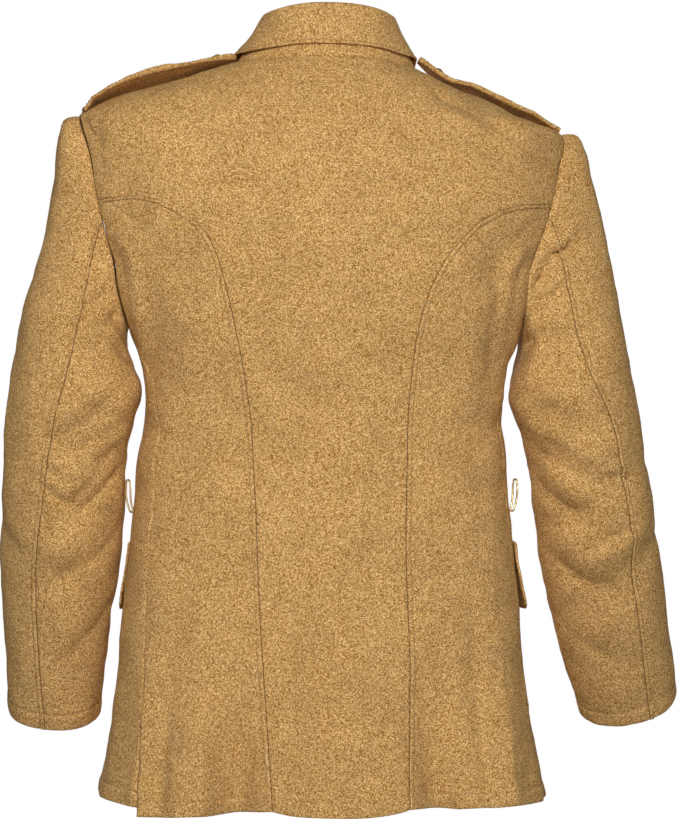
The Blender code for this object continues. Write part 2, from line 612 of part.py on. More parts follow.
def sleeve_columns(side, part):
    """Armhole spots of a sleeve piece, from its back seam to its front seam."""
    back = [("back", swing) for swing in back_swings(side)]
    front = [("front", swing) for swing in front_swings()]
    if part == "top":
        return back[BACK_SEAM_STEP:] + front[-2:FRONT_SEAM_STEP - 1:-1]
    return back[BACK_SEAM_STEP:0:-1] + front[:FRONT_SEAM_STEP + 1]


def column_turn(side, part, share, down):
    back, front = seam_turns(side, down)
    end = front - 2 * math.pi if part == "top" else front
    return back + (end - back) * share


def armhole_mark(side, part, share):
    """Face and swing of the armhole at a share of the way across a sleeve piece."""
    columns = sleeve_columns(side, part)
    place = share * (len(columns) - 1)
    i = min(int(place), len(columns) - 2)
    (face_a, swing_a), (face_b, swing_b) = columns[i], columns[i + 1]
    if face_a != face_b:
        if part == "top":
            swing_b = 2 * math.pi - swing_b
            swing = swing_a + (swing_b - swing_a) * (place - i)
            return ("back", swing) if swing <= math.pi else ("front", 2 * math.pi - swing)
        swing = swing_a + (-swing_b - swing_a) * (place - i)
        return ("back", swing) if swing >= 0 else ("front", -swing)
    return face_a, swing_a + (swing_b - swing_a) * (place - i)


def sleeve(side, part, share, down):
    """Spot of a sleeve piece. Above the upper arm, down runs from -1 at the armhole to 0."""
    if down >= 0:
        turn = column_turn(side, part, share, down)
        plain = sleeve_tube(side, turn, down)
        row, _, _ = sleeve_ring(side, down)
        away = unit(plain - row[:3])
        return plain + away * crease_height(side, turn, down)
    face, swing = armhole_mark(side, part, share)
    start = body(*armhole_spot(side, face, swing))
    turn = column_turn(side, part, share, 0.0)
    end = sleeve(side, part, share, 0.0)
    row, _, _ = sleeve_ring(side, 0.0)
    outward = 1.0 if side == "left" else -1.0
    below = sleeve(side, part, share, 0.004)
    arrive = unit(below - end) * np.linalg.norm(end - start)
    t = max(down + 1, 0.0)
    spot = ((t**3 - 2 * t**2 + t) * (end - start) + (2 * t**3 - 3 * t**2 + 1) * start
            + (-2 * t**3 + 3 * t**2) * end + (t**3 - t**2) * arrive)
    topness = (1 - math.cos(swing)) / 2
    head = SLEEVE_HEAD[side]
    shares = [spot.share for spot in head]
    rise = curve_at(np.array(shares), np.array([(spot.out, spot.up) for spot in head]), t)
    ease = UNDERARM_EASE * math.sin(math.pi * t ** 0.6) * (1 - topness) ** 2
    spot = spot + np.array([outward * (rise[0] * topness ** 0.7 + ease), 0, rise[1] * topness**2])
    distance = down * np.linalg.norm(end - start)
    lift = crease_height(side, turn, distance) - crease_height(side, turn, 0.0)
    middle = row[:3] + (start - end) * (1 - t)
    return spot + unit(spot - middle) * lift * smooth_step(0.0, 0.5, t)


def sleeve_normal(side, part, share, down):
    step = 0.002
    down = max(down, step - 1)
    across = sleeve(side, part, share + step, down) - sleeve(side, part, share - step, down)
    along = sleeve(side, part, share, down + step) - sleeve(side, part, share, down - step)
    normal = unit(np.cross(across, along))
    row, _, _ = sleeve_ring(side, max(down, 0.0))
    ring_middle = row[:3] if down >= 0 else row[:3] + np.array([0, 0, 0.08])
    here = sleeve(side, part, share, down)
    return normal if float(normal @ (here - ring_middle)) > 0 else -normal


def make_sleeve_piece(side, part):
    columns = sleeve_columns(side, part)
    _, _, length = sleeve_ring(side, 0.0)
    cap = np.linspace(0, 1, CAP_ROWS + 1)[:-1] ** CAP_CROWDING - 1
    rows = np.concatenate([cap, np.linspace(0, length, ARM_ROWS + 1)])
    shares = np.linspace(0, 1, len(columns))
    points = np.array([[sleeve(side, part, share, down) for share in shares] for down in rows])
    normals = np.array([[sleeve_normal(side, part, share, down) for share in shares]
                        for down in rows])
    points = open_seams(points, normals)
    for j, (face, swing) in enumerate(columns):
        spot = armhole_spot(side, face, swing)
        body_out = body_normal(*spot)
        ahead = armhole_spot(side, face, min(swing + 0.02, math.pi))
        behind = armhole_spot(side, face, max(swing - 0.02, 0.0))
        past_edge = unit(np.cross(body_out, body(*ahead) - body(*behind)))
        if float(past_edge @ (ARMHOLE_MIDDLE[side] - body(*spot))) < 0:
            past_edge = -past_edge
        own = normals[0, j]
        points[0, j] += body_out * SEAM * (1 - float(own @ body_out))
        lean = float(own @ past_edge)
        if lean > 0:
            normals[0, j] = unit(own - past_edge * lean)
    cloth_wall(f"{part}_sleeve_{side}", points, normals)


def collar_fold(angle):
    """Top line of the collar, over the same angle round the neck."""
    top = COLLAR_TOP
    c, s = math.cos(angle), math.sin(angle)
    half = top["half_left"] if c > 0 else top["half_right"]
    depth, z_end = (top["back"], top["z_back"]) if s > 0 else (top["front"], top["z_front"])
    power = 2.0 / top["square"]
    return np.array([math.copysign(half * abs(c) ** power, c),
                     math.copysign(depth * abs(s) ** power, s),
                     top["z_side"] * c * c + z_end * s * s])


def collar_angles():
    """Angles round the neck, from one end at the middle of the front to the other."""
    half = [math.radians(station) for station in COLLAR_STATIONS]
    return [math.pi / 2 - swing for swing in reversed(half)] + [math.pi / 2 + s for s in half[1:]]


def collar_frame(angle):
    """Foot of the stand, its top, the way up and the way out."""
    foot = body(angle, LEVELS[-1]) + np.array([0, 0, 0.0005])
    top = collar_fold(angle)
    up = unit(top - foot)
    around = unit(collar_fold(angle + 0.01) - collar_fold(angle - 0.01))
    out = unit(np.cross(around, up))
    return foot, top, up, out


def make_collar_stand():
    angles = collar_angles()
    rows = np.linspace(0, 1, 3)
    points = np.zeros((len(rows), len(angles), 3))
    normals = np.zeros_like(points)
    for j, angle in enumerate(angles):
        foot, top, _, out = collar_frame(angle)
        for i, share in enumerate(rows):
            points[i, j] = foot + (top - foot) * share
            normals[i, j] = out
    cloth_wall("collar_stand", points, normals)


def fall_length(angle):
    from_back = abs(math.degrees(angle) - 90)
    side_share = smooth_step(20, 85, from_back)
    point_share = min(max((from_back - 118) / 60, 0.0), 1.0) ** 2.0
    return FALL_BACK + (FALL_SIDE - FALL_BACK) * side_share + (FALL_POINT - FALL_SIDE) * point_share


def fall_line(angle):
    """Outer line of the fall from the fold down, over the stand and onto the chest."""
    stations = np.linspace(0, 1, FALL_ROWS + 1)
    length = fall_length(angle)
    middle = math.pi / 2
    guide = []
    for share in (0.0, 0.5, 1.0):
        foot, top, _, out = collar_frame(middle + (angle - middle) * (1 - FALL_SPREAD * share / 2))
        stand_off = FALL_STAND + 0.0006 * share
        guide.append(top + (foot - top) * share + out * stand_off)
    for reach in (0.026, 0.052):
        turned = middle + (angle - middle) * (1 - FALL_SPREAD * (0.5 + reach / 0.052 * 0.5))
        level = LEVELS[-1] - reach
        guide.append(body(turned, level) + body_normal(turned, level) * FALL_CHEST)
    guide = np.array(guide)
    guide[2] = guide[2] * 0.6 + (guide[1] + guide[3]) * 0.2
    knots = np.concatenate([[0], np.cumsum(np.linalg.norm(np.diff(guide, axis=0), axis=1))])
    return np.array([curve_at(knots, guide, share * length) for share in stations])


def make_collar_fall():
    """The fall: down the outside of the stand, with its roll over the top and a short lip."""
    sections = []
    for angle in collar_angles():
        _, top, up, out = collar_frame(angle)
        outer = fall_line(angle)
        runs = np.array([edge_tangent(outer, i) for i in range(len(outer))])
        around = unit(collar_fold(angle + 0.01) - collar_fold(angle - 0.01))
        outs = np.array([unit(np.cross(run, around)) for run in runs])
        inner = outer - outs * FALL_CLOTH
        roll = [top + out * spot.out + up * spot.up for spot in ROLL]
        sections.append(np.concatenate([outer[::-1], roll, inner]))
    sweep("collar_fall", np.array(sections), "wool", CLOTH)


def sweep(name, sections, look_name, look):
    """Closed solid from a row of closed sections, with a flat cap at each end."""
    count = sections.shape[1]
    faces = []
    for i in range(len(sections) - 1):
        for j in range(count):
            a, b = i * count + j, i * count + (j + 1) % count
            faces += [(a, b, b + count), (a, b + count, a + count)]
    last = (len(sections) - 1) * count
    faces += [tuple(range(count)), tuple(range(last + count - 1, last - 1, -1))]
    return link_mesh(name, sections.reshape(-1, 3), faces, look_name, look)


def shoulder_height(x, y):
    """Height of the shoulder above a spot of the ground plan."""
    low, high = LEVEL_OF["blade"], LEVEL_OF["neck"]
    for _ in range(30):
        level = (low + high) / 2
        ring = ring_at(level)
        half, z_side = (ring.half_left, ring.z_left) if x > 0 else (ring.half_right, ring.z_right)
        depth, z_end = (ring.back, ring.z_back) if y > 0 else (ring.front, ring.z_front)
        wide, deep = (abs(x) / half) ** ring.square, (abs(y) / depth) ** ring.square
        if wide + deep < 1:
            low = level
        else:
            high = level
    return z_side * wide + z_end * deep


def strap_line(side):
    """Top points of the strap and the way up at each, from the sleeve to the collar."""
    spots = np.array([(spot.x, 0.0, spot.z) for spot in STRAPS[side]])
    ups = []
    for i in range(len(spots)):
        run = edge_tangent(spots, i)
        up = np.array([-run[2], 0, run[0]])
        ups.append(up if up[2] > 0 else -up)
    return spots, np.array(ups)


def make_strap(side):
    spots, ups = strap_line(side)
    sections = []
    for spot, up, row in zip(spots, ups, STRAPS[side]):
        half = row.width / 2
        section = []
        for across, share in STRAP_SECTION:
            droop = row.droop * (0.5 - across / 2) ** DROOP_POWER
            point = spot - up * STRAP_CLOTH * share + np.array([0, across * half, -droop])
            lowest = shoulder_height(point[0], point[1]) + STRAP_SEAT
            point[2] = max(point[2], lowest + STRAP_CLOTH * 0.8 * (1 - share))
            section.append(point)
        sections.append(section)
    sweep("shoulder_strap_" + side, np.array(sections), "wool", CLOTH)


def make_button(name, center, up, diameter, height):
    """A domed button with a rolled rim, its back plate at the centre point."""
    radius = diameter / 2
    profile = ((radius * 0.80, 0.0), (radius, height * 0.16), (radius * 0.97, height * 0.34),
               (radius * 0.86, height * 0.40), (radius * 0.66, height * 0.72),
               (radius * 0.34, height * 0.94))
    side_way = unit(np.cross(up, np.array([0.0, 0.37, 1.0]) if abs(up[1]) > 0.9
                             else np.array([0.0, 1.0, 0.0])))
    other_way = np.cross(up, side_way)
    points = []
    for out, rise in profile:
        for i in range(BUTTON_SIDES):
            turn = 2 * math.pi * i / BUTTON_SIDES
            points.append(center + up * rise
                          + (side_way * math.cos(turn) + other_way * math.sin(turn)) * out)
    crown = len(points)
    points += [center + up * height, center]
    faces = []
    for k in range(len(profile) - 1):
        for i in range(BUTTON_SIDES):
            a, b = k * BUTTON_SIDES + i, k * BUTTON_SIDES + (i + 1) % BUTTON_SIDES
            faces.append((a, b, b + BUTTON_SIDES, a + BUTTON_SIDES))
    top = (len(profile) - 1) * BUTTON_SIDES
    for i in range(BUTTON_SIDES):
        j = (i + 1) % BUTTON_SIDES
        faces += [(top + i, top + j, crown), (j, i, crown + 1)]
    link_mesh(name, points, faces, "brass", BRASS)


def strap_top(side, out):
    """Middle of a strap's top and the way up there, at a distance from the middle of the neck."""
    spots, ups = strap_line(side)
    order = np.argsort(np.abs(spots[:, 0]))
    reach = np.abs(spots[order, 0])
    half = float(np.interp(out, reach, [STRAPS[side][i].width / 2 for i in order]))
    droop = float(np.interp(out, reach, [STRAPS[side][i].droop for i in order]))
    hang = droop * 0.5 ** DROOP_POWER
    z = float(np.interp(out, reach, spots[order, 2])) - hang
    tilt = -DROOP_POWER * hang / half
    up = unit(np.array([np.interp(out, reach, ups[order, 0]), tilt,
                        np.interp(out, reach, ups[order, 2])]))
    return np.array([math.copysign(out, spots[0, 0]), 0, z]), up


def make_strap_buttons():
    for side in ("left", "right"):
        spot, up = strap_top(side, STRAP_BUTTON_X[side])
        make_button("strap_button_" + side, spot + up * STRAP_BUTTON_SEAT, up,
                    STRAP_BUTTON, STRAP_BUTTON_HEIGHT)


def front_spot(x, z):
    """Spot of the front surface near the middle, at a width and a height."""
    low, high = 0.0, LEVELS[-1]
    angle = -math.pi / 2
    for _ in range(40):
        level = (low + high) / 2
        ring = ring_at(level)
        half = ring.half_left if x > 0 else ring.half_right
        swing = math.asin((abs(x) / half) ** (ring.square / 2))
        angle = -math.pi / 2 + math.copysign(swing, x)
        if body_plain(angle, level)[2] < z:
            low = level
        else:
            high = level
    return angle, level


def make_front_buttons():
    for i in range(5):
        angle, level = front_spot(0.0, FIRST_BUTTON - BUTTON_SPACING * i)
        up = body_normal(angle, level)
        make_button(f"front_button_{i + 1}", body(angle, level) + up * BUTTON_SEAT, up,
                    FRONT_BUTTON, FRONT_BUTTON_HEIGHT)


def skirt_level(z):
    """Level of a height between the hem and the waist."""
    waist = [ring.name for ring in RINGS].index("waist") + 1
    return float(np.interp(z, [ring.z_back for ring in RINGS[:waist]], LEVELS[:waist]))


def make_flap(side):
    """Flap of the hip pocket, made from the front's points, moved out."""
    points = np.zeros((FLAP_ROWS + 1, FLAP_COLUMNS + 1, 3))
    normals = np.zeros_like(points)
    for j, turn in enumerate(np.linspace(*FLAP_TURNS[side], FLAP_COLUMNS + 1)):
        across = j / FLAP_COLUMNS
        corner = FLAP_CORNER * (max(abs(2 * across - 1) - 0.75, 0) / 0.25) ** 2
        for i in range(FLAP_ROWS + 1):
            share = 1 - i / FLAP_ROWS
            z = FLAP_TOP - (FLAP_HEIGHT - corner) * share
            level = skirt_level(z)
            angle = side_angle(side, math.radians(turn))
            away = body_normal(angle, level)
            stand = FLAP_CLOTH + FLAP_GAP + FLAP_STAND[side] * share ** 1.5
            points[i, j] = body(angle, level) + away * stand
            normals[i, j] = away
    cloth_wall("pocket_flap_" + side, points, normals, FLAP_CLOTH)


def make_belt_hook(side):
    """Hairpin of brass wire that comes out of the side and turns up."""
    angle = side_angle(side, math.radians(HOOK_TURN))
    radius = WIRE / 2
    foot_level = skirt_level(HOOK_FOOT)
    foot = body(angle, foot_level)
    away = body_normal(angle, foot_level)
    away = unit(np.array([away[0], away[1], 0.0]))
    across = np.cross(np.array([0.0, 0.0, 1.0]), away)
    rise = HOOK_TOP - HOOK_FOOT
    half = HOOK_HALF_WIDTH - radius
    leg = [(HOOK_ROOT, 0.0), (HOOK_STAND - HOOK_BEND * 0.3, HOOK_BEND * 0.3),
           (HOOK_STAND, HOOK_BEND), (HOOK_STAND + HOOK_LEAN, rise - half)]
    line = [foot + away * out + across * half + np.array([0, 0, up]) for out, up in leg]
    for i in range(1, 6):
        turn = math.pi * i / 6
        line.append(foot + away * (HOOK_STAND + HOOK_LEAN) + across * half * math.cos(turn)
                    + np.array([0, 0, rise - half + half * math.sin(turn)]))
    line += [foot + away * out - across * half + np.array([0, 0, up])
             for out, up in reversed(leg)]
    line = np.array(line)
    sections = []
    for i, point in enumerate(line):
        run = edge_tangent(line, i)
        first = unit(np.cross(run, away + across * 0.31 + np.array([0.0, 0.0, 0.17])))
        if i and float(first @ last) < 0:
            first = -first
        last = first
        second = np.cross(run, first)
        sections.append([point + (first * math.cos(t) + second * math.sin(t)) * radius
                         for t in np.arange(6) * math.pi / 3])
    sweep("belt_hook_" + side, np.array(sections), "brass", BRASS)


def main():
    clear_scene()
    make_center_back()
    for side in ("left", "right"):
        make_side_back(side)
        make_front(side)
        make_sleeve_piece(side, "top")
        make_sleeve_piece(side, "under")
        make_strap(side)
        make_flap(side)
        make_belt_hook(side)
    make_collar_stand()
    make_collar_fall()
    make_strap_buttons()
    make_front_buttons()


main()
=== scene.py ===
# %% [markdown]
# # A military tunic, dressed over its solids
#
# The packed model holds each cut piece of the tunic as a plain wall of cloth. This script gives
# every piece its fine form: the roll of the cloth at each seam, the rows of stitching, the small
# creases, the hairy milled wool and the brass. The wearer's left is +X, the back is +Y, up is +Z,
# and the origin is the middle of the neck opening.

# %% Start from an empty scene and load the frame
import json
import math
from collections import namedtuple
from functools import partial

import bpy
import numpy as np
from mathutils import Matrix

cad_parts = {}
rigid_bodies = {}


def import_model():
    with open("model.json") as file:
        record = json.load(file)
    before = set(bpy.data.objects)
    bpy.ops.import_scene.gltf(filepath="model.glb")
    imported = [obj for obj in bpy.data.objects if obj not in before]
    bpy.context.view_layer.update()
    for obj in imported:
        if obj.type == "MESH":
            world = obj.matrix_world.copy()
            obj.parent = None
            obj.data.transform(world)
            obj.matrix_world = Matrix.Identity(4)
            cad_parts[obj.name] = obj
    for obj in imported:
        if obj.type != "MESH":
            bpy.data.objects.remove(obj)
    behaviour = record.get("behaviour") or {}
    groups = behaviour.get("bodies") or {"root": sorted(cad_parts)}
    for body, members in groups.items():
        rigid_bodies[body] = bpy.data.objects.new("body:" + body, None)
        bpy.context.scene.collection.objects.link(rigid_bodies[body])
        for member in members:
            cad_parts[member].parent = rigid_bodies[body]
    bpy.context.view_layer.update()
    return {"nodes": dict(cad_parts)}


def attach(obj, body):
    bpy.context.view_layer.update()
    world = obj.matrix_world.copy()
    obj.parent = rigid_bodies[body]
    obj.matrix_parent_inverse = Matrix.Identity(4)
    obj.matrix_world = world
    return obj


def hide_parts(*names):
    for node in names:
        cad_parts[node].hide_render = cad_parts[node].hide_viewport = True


for thing in list(bpy.data.objects):
    bpy.data.objects.remove(thing, do_unlink=True)
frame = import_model()
print(len(frame["nodes"]), "solids in the frame")

# %% [markdown]
# ## The shape of the body
#
# A tunic filled out as worn is a stack of oval rings, from the hem up to the neck. Each ring needs
# a height and a depth at four places, and an exponent that says how square the oval is. A smooth
# curve through the rings gives the surface at any level, so that the same few numbers make a
# coarse solid or a fine cloth. Working on whole arrays at once keeps this quick.

# %% Rings, armholes and seams of the body
WALL = 0.0025
SEAM_OVERLAP = 0.0003     # how far each sewn edge runs on past its seam line
Ring = namedtuple("Ring", "name z_left z_right z_back z_front half_left half_right "
                          "back front square")
RINGS = (
    Ring("hem",        -0.7405, -0.7465, -0.7520, -0.745, 0.2300, 0.2255, 0.126, 0.128, 2.50),
    Ring("low_skirt",  -0.690, -0.690, -0.690, -0.690, 0.2208, 0.2145, 0.123, 0.126, 2.50),
    Ring("skirt",      -0.620, -0.620, -0.620, -0.620, 0.2112, 0.2040, 0.118, 0.123, 2.50),
    Ring("hip",        -0.550, -0.550, -0.550, -0.550, 0.2045, 0.1980, 0.113, 0.120, 2.45),
    Ring("low_waist",  -0.460, -0.460, -0.460, -0.460, 0.1945, 0.1895, 0.105, 0.114, 2.40),
    Ring("high_hip",   -0.405, -0.405, -0.405, -0.405, 0.1905, 0.1858, 0.102, 0.112, 2.38),
    Ring("waist",      -0.360, -0.360, -0.360, -0.360, 0.1828, 0.1815, 0.102, 0.112, 2.35),
    Ring("rib",        -0.315, -0.315, -0.312, -0.318, 0.1850, 0.1850, 0.109, 0.120, 2.35),
    Ring("underarm",   -0.272, -0.275, -0.262, -0.280, 0.1985, 0.1980, 0.118, 0.130, 2.35),
    Ring("chest",      -0.215, -0.220, -0.200, -0.230, 0.2220, 0.2180, 0.124, 0.133, 2.30),
    Ring("blade",      -0.155, -0.163, -0.140, -0.175, 0.2400, 0.2370, 0.124, 0.130, 2.30),
    Ring("yoke",       -0.100, -0.112, -0.095, -0.130, 0.2480, 0.2450, 0.115, 0.121, 2.20),
    Ring("tip",        -0.0555, -0.0715, -0.062, -0.102, 0.2490, 0.2425, 0.104, 0.110, 2.10),
    Ring("shoulder",   -0.0385, -0.0570, -0.043, -0.092, 0.2150, 0.2030, 0.095, 0.103, 2.05),
    Ring("mid_slope",  -0.0270, -0.0400, -0.028, -0.085, 0.1750, 0.1680, 0.086, 0.095, 2.05),
    Ring("slope",      -0.0140, -0.0260, -0.014, -0.079, 0.1370, 0.1340, 0.077, 0.087, 2.05),
    Ring("neck",       -0.0010, -0.0060, 0.000, -0.072, 0.0895, 0.0925, 0.067, 0.079, 2.05),
)
Armhole = namedtuple("Armhole", "side face depth skew")
ARMHOLES = (
    Armhole("left", "back", 0.047, 0.05),
    Armhole("left", "front", 0.055, 0.10),
    Armhole("right", "back", 0.055, 0.25),
    Armhole("right", "front", 0.055, 0.10),
)
ARMHOLE_ROUND = 0.80
JOIN_ANGLE = {"left": 1.81, "right": 1.86}
SeamSpot = namedtuple("SeamSpot", "x z")
BACK_SEAM = {
    "left": (SeamSpot(0.0612, -0.7455), SeamSpot(0.0681, -0.636), SeamSpot(0.0749, -0.500),
             SeamSpot(0.0788, -0.402), SeamSpot(0.0866, -0.324), SeamSpot(0.0944, -0.285),
             SeamSpot(0.1075, -0.227), SeamSpot(0.1165, -0.198), SeamSpot(0.1275, -0.1785),
             SeamSpot(0.1415, -0.164), SeamSpot(0.1610, -0.152), SeamSpot(0.1815, -0.1445)),
    "right": (SeamSpot(0.0752, -0.7455), SeamSpot(0.0762, -0.620), SeamSpot(0.0725, -0.500),
              SeamSpot(0.0742, -0.420), SeamSpot(0.0781, -0.324), SeamSpot(0.0825, -0.285),
              SeamSpot(0.0939, -0.241), SeamSpot(0.1036, -0.218), SeamSpot(0.1145, -0.2005),
              SeamSpot(0.1265, -0.186), SeamSpot(0.1410, -0.172), SeamSpot(0.1615, -0.1595),
              SeamSpot(0.1860, -0.151)),
}
TurnAt = namedtuple("TurnAt", "z turn")
SIDE_SEAM = {
    "left": (TurnAt(-0.742, 38), TurnAt(-0.64, 33), TurnAt(-0.50, 27), TurnAt(-0.365, 23),
             TurnAt(-0.315, 16), TurnAt(-0.272, 0)),
    "right": (TurnAt(-0.742, 17), TurnAt(-0.64, 15), TurnAt(-0.50, 15), TurnAt(-0.365, 15),
              TurnAt(-0.315, 11), TurnAt(-0.275, 0)),
}
SIDES = ("left", "right")


def smooth_curve(knots, values, at):
    """Smooth curve through rows of values, read at many places."""
    knots, values, at = np.asarray(knots, float), np.asarray(values, float), np.asarray(at, float)
    slopes = np.gradient(values, knots, axis=0)
    i = np.clip(np.searchsorted(knots, at, side="right") - 1, 0, len(knots) - 2)
    span = knots[i + 1] - knots[i]
    t = (at - knots[i]) / span
    if values.ndim > 1:
        span, t = span[..., None], t[..., None]
    return ((2 * t**3 - 3 * t**2 + 1) * values[i] + (t**3 - 2 * t**2 + t) * span * slopes[i]
            + (-2 * t**3 + 3 * t**2) * values[i + 1] + (t**3 - t**2) * span * slopes[i + 1])


def unit(vectors):
    return vectors / np.linalg.norm(vectors, axis=-1, keepdims=True)


def dot(a, b):
    return np.sum(a * b, axis=-1)


def smooth_step(low, high, at):
    t = np.clip((at - low) / (high - low), 0.0, 1.0)
    return t * t * (3 - 2 * t)


def ring_levels():
    """Distance up the cloth from the hem to each ring, between its side and its back."""
    levels = [0.0]
    for low, high in zip(RINGS, RINGS[1:]):
        side = math.hypot(high.half_left - low.half_left, high.z_left - low.z_left)
        back = math.hypot(high.back - low.back, high.z_back - low.z_back)
        levels.append(levels[-1] + (side + back) / 2)
    return np.array(levels)


LEVELS = ring_levels()
RING_VALUES = np.array([ring[1:] for ring in RINGS])
LEVEL_OF = {ring.name: level for ring, level in zip(RINGS, LEVELS)}


def ring_at(level):
    """The ring at each level, as a ring of arrays."""
    return Ring("between", *np.moveaxis(smooth_curve(LEVELS, RING_VALUES, level), -1, 0))


def body_plain(angle, level):
    """Body surface before its folds. angle is 0 at the left side and 90 degrees at the back."""
    ring = ring_at(level)
    c, s = np.cos(angle), np.sin(angle)
    half = np.where(c > 0, ring.half_left, ring.half_right)
    z_side = np.where(c > 0, ring.z_left, ring.z_right)
    depth = np.where(s > 0, ring.back, ring.front)
    z_end = np.where(s > 0, ring.z_back, ring.z_front)
    power = 2.0 / ring.square
    return np.stack([np.copysign(half * np.abs(c) ** power, c),
                     np.copysign(depth * np.abs(s) ** power, s),
                     z_side * c * c + z_end * s * s], axis=-1)


print("body", round(float(LEVELS[-1]), 3), "m of cloth from hem to neck")

# %% [markdown]
# ## Folds of the body
#
# Wool this heavy makes few folds, and soft ones. Each is a straight trough or ridge with a rounded
# profile that fades at its ends. The large ones are in the solids too: the flutes where the skirt
# flares, and the bunches beside the armholes. The small ones are added here, uneven in width,
# depth and place, because even ones would look made by a machine.

# %% Tables of the folds
Fold = namedtuple("Fold", "name face x0 z0 x1 z1 width depth0 depth1")
BODY_FOLDS = (
    Fold("left_flute", 1, 0.100, -0.760, 0.088, -0.600, 0.024, -0.034, 0.000),
    Fold("left_flute_bank", 1, 0.150, -0.760, 0.128, -0.600, 0.026, 0.010, 0.000),
    Fold("right_flute", 1, -0.112, -0.760, -0.096, -0.600, 0.026, -0.030, 0.000),
    Fold("right_flute_bank", 1, -0.160, -0.760, -0.135, -0.600, 0.026, 0.008, 0.000),
    Fold("left_underarm", 1, 0.186, -0.345, 0.202, -0.225, 0.011, 0.001, 0.006),
    Fold("left_hollow", 1, 0.163, -0.335, 0.178, -0.220, 0.011, -0.001, -0.005),
    Fold("right_underarm", 1, -0.186, -0.345, -0.190, -0.235, 0.011, 0.001, 0.006),
    Fold("right_hollow", 1, -0.160, -0.335, -0.166, -0.225, 0.012, -0.001, -0.005),
    Fold("left_front_hollow", -1, 0.150, -0.330, 0.185, -0.200, 0.016, -0.001, -0.006),
    Fold("right_front_hollow", -1, -0.150, -0.330, -0.185, -0.200, 0.016, -0.001, -0.006),
    Fold("left_front_flute", -1, 0.120, -0.760, 0.105, -0.560, 0.030, -0.014, 0.000),
    Fold("right_front_flute", -1, -0.120, -0.760, -0.105, -0.560, 0.030, -0.014, 0.000),
)
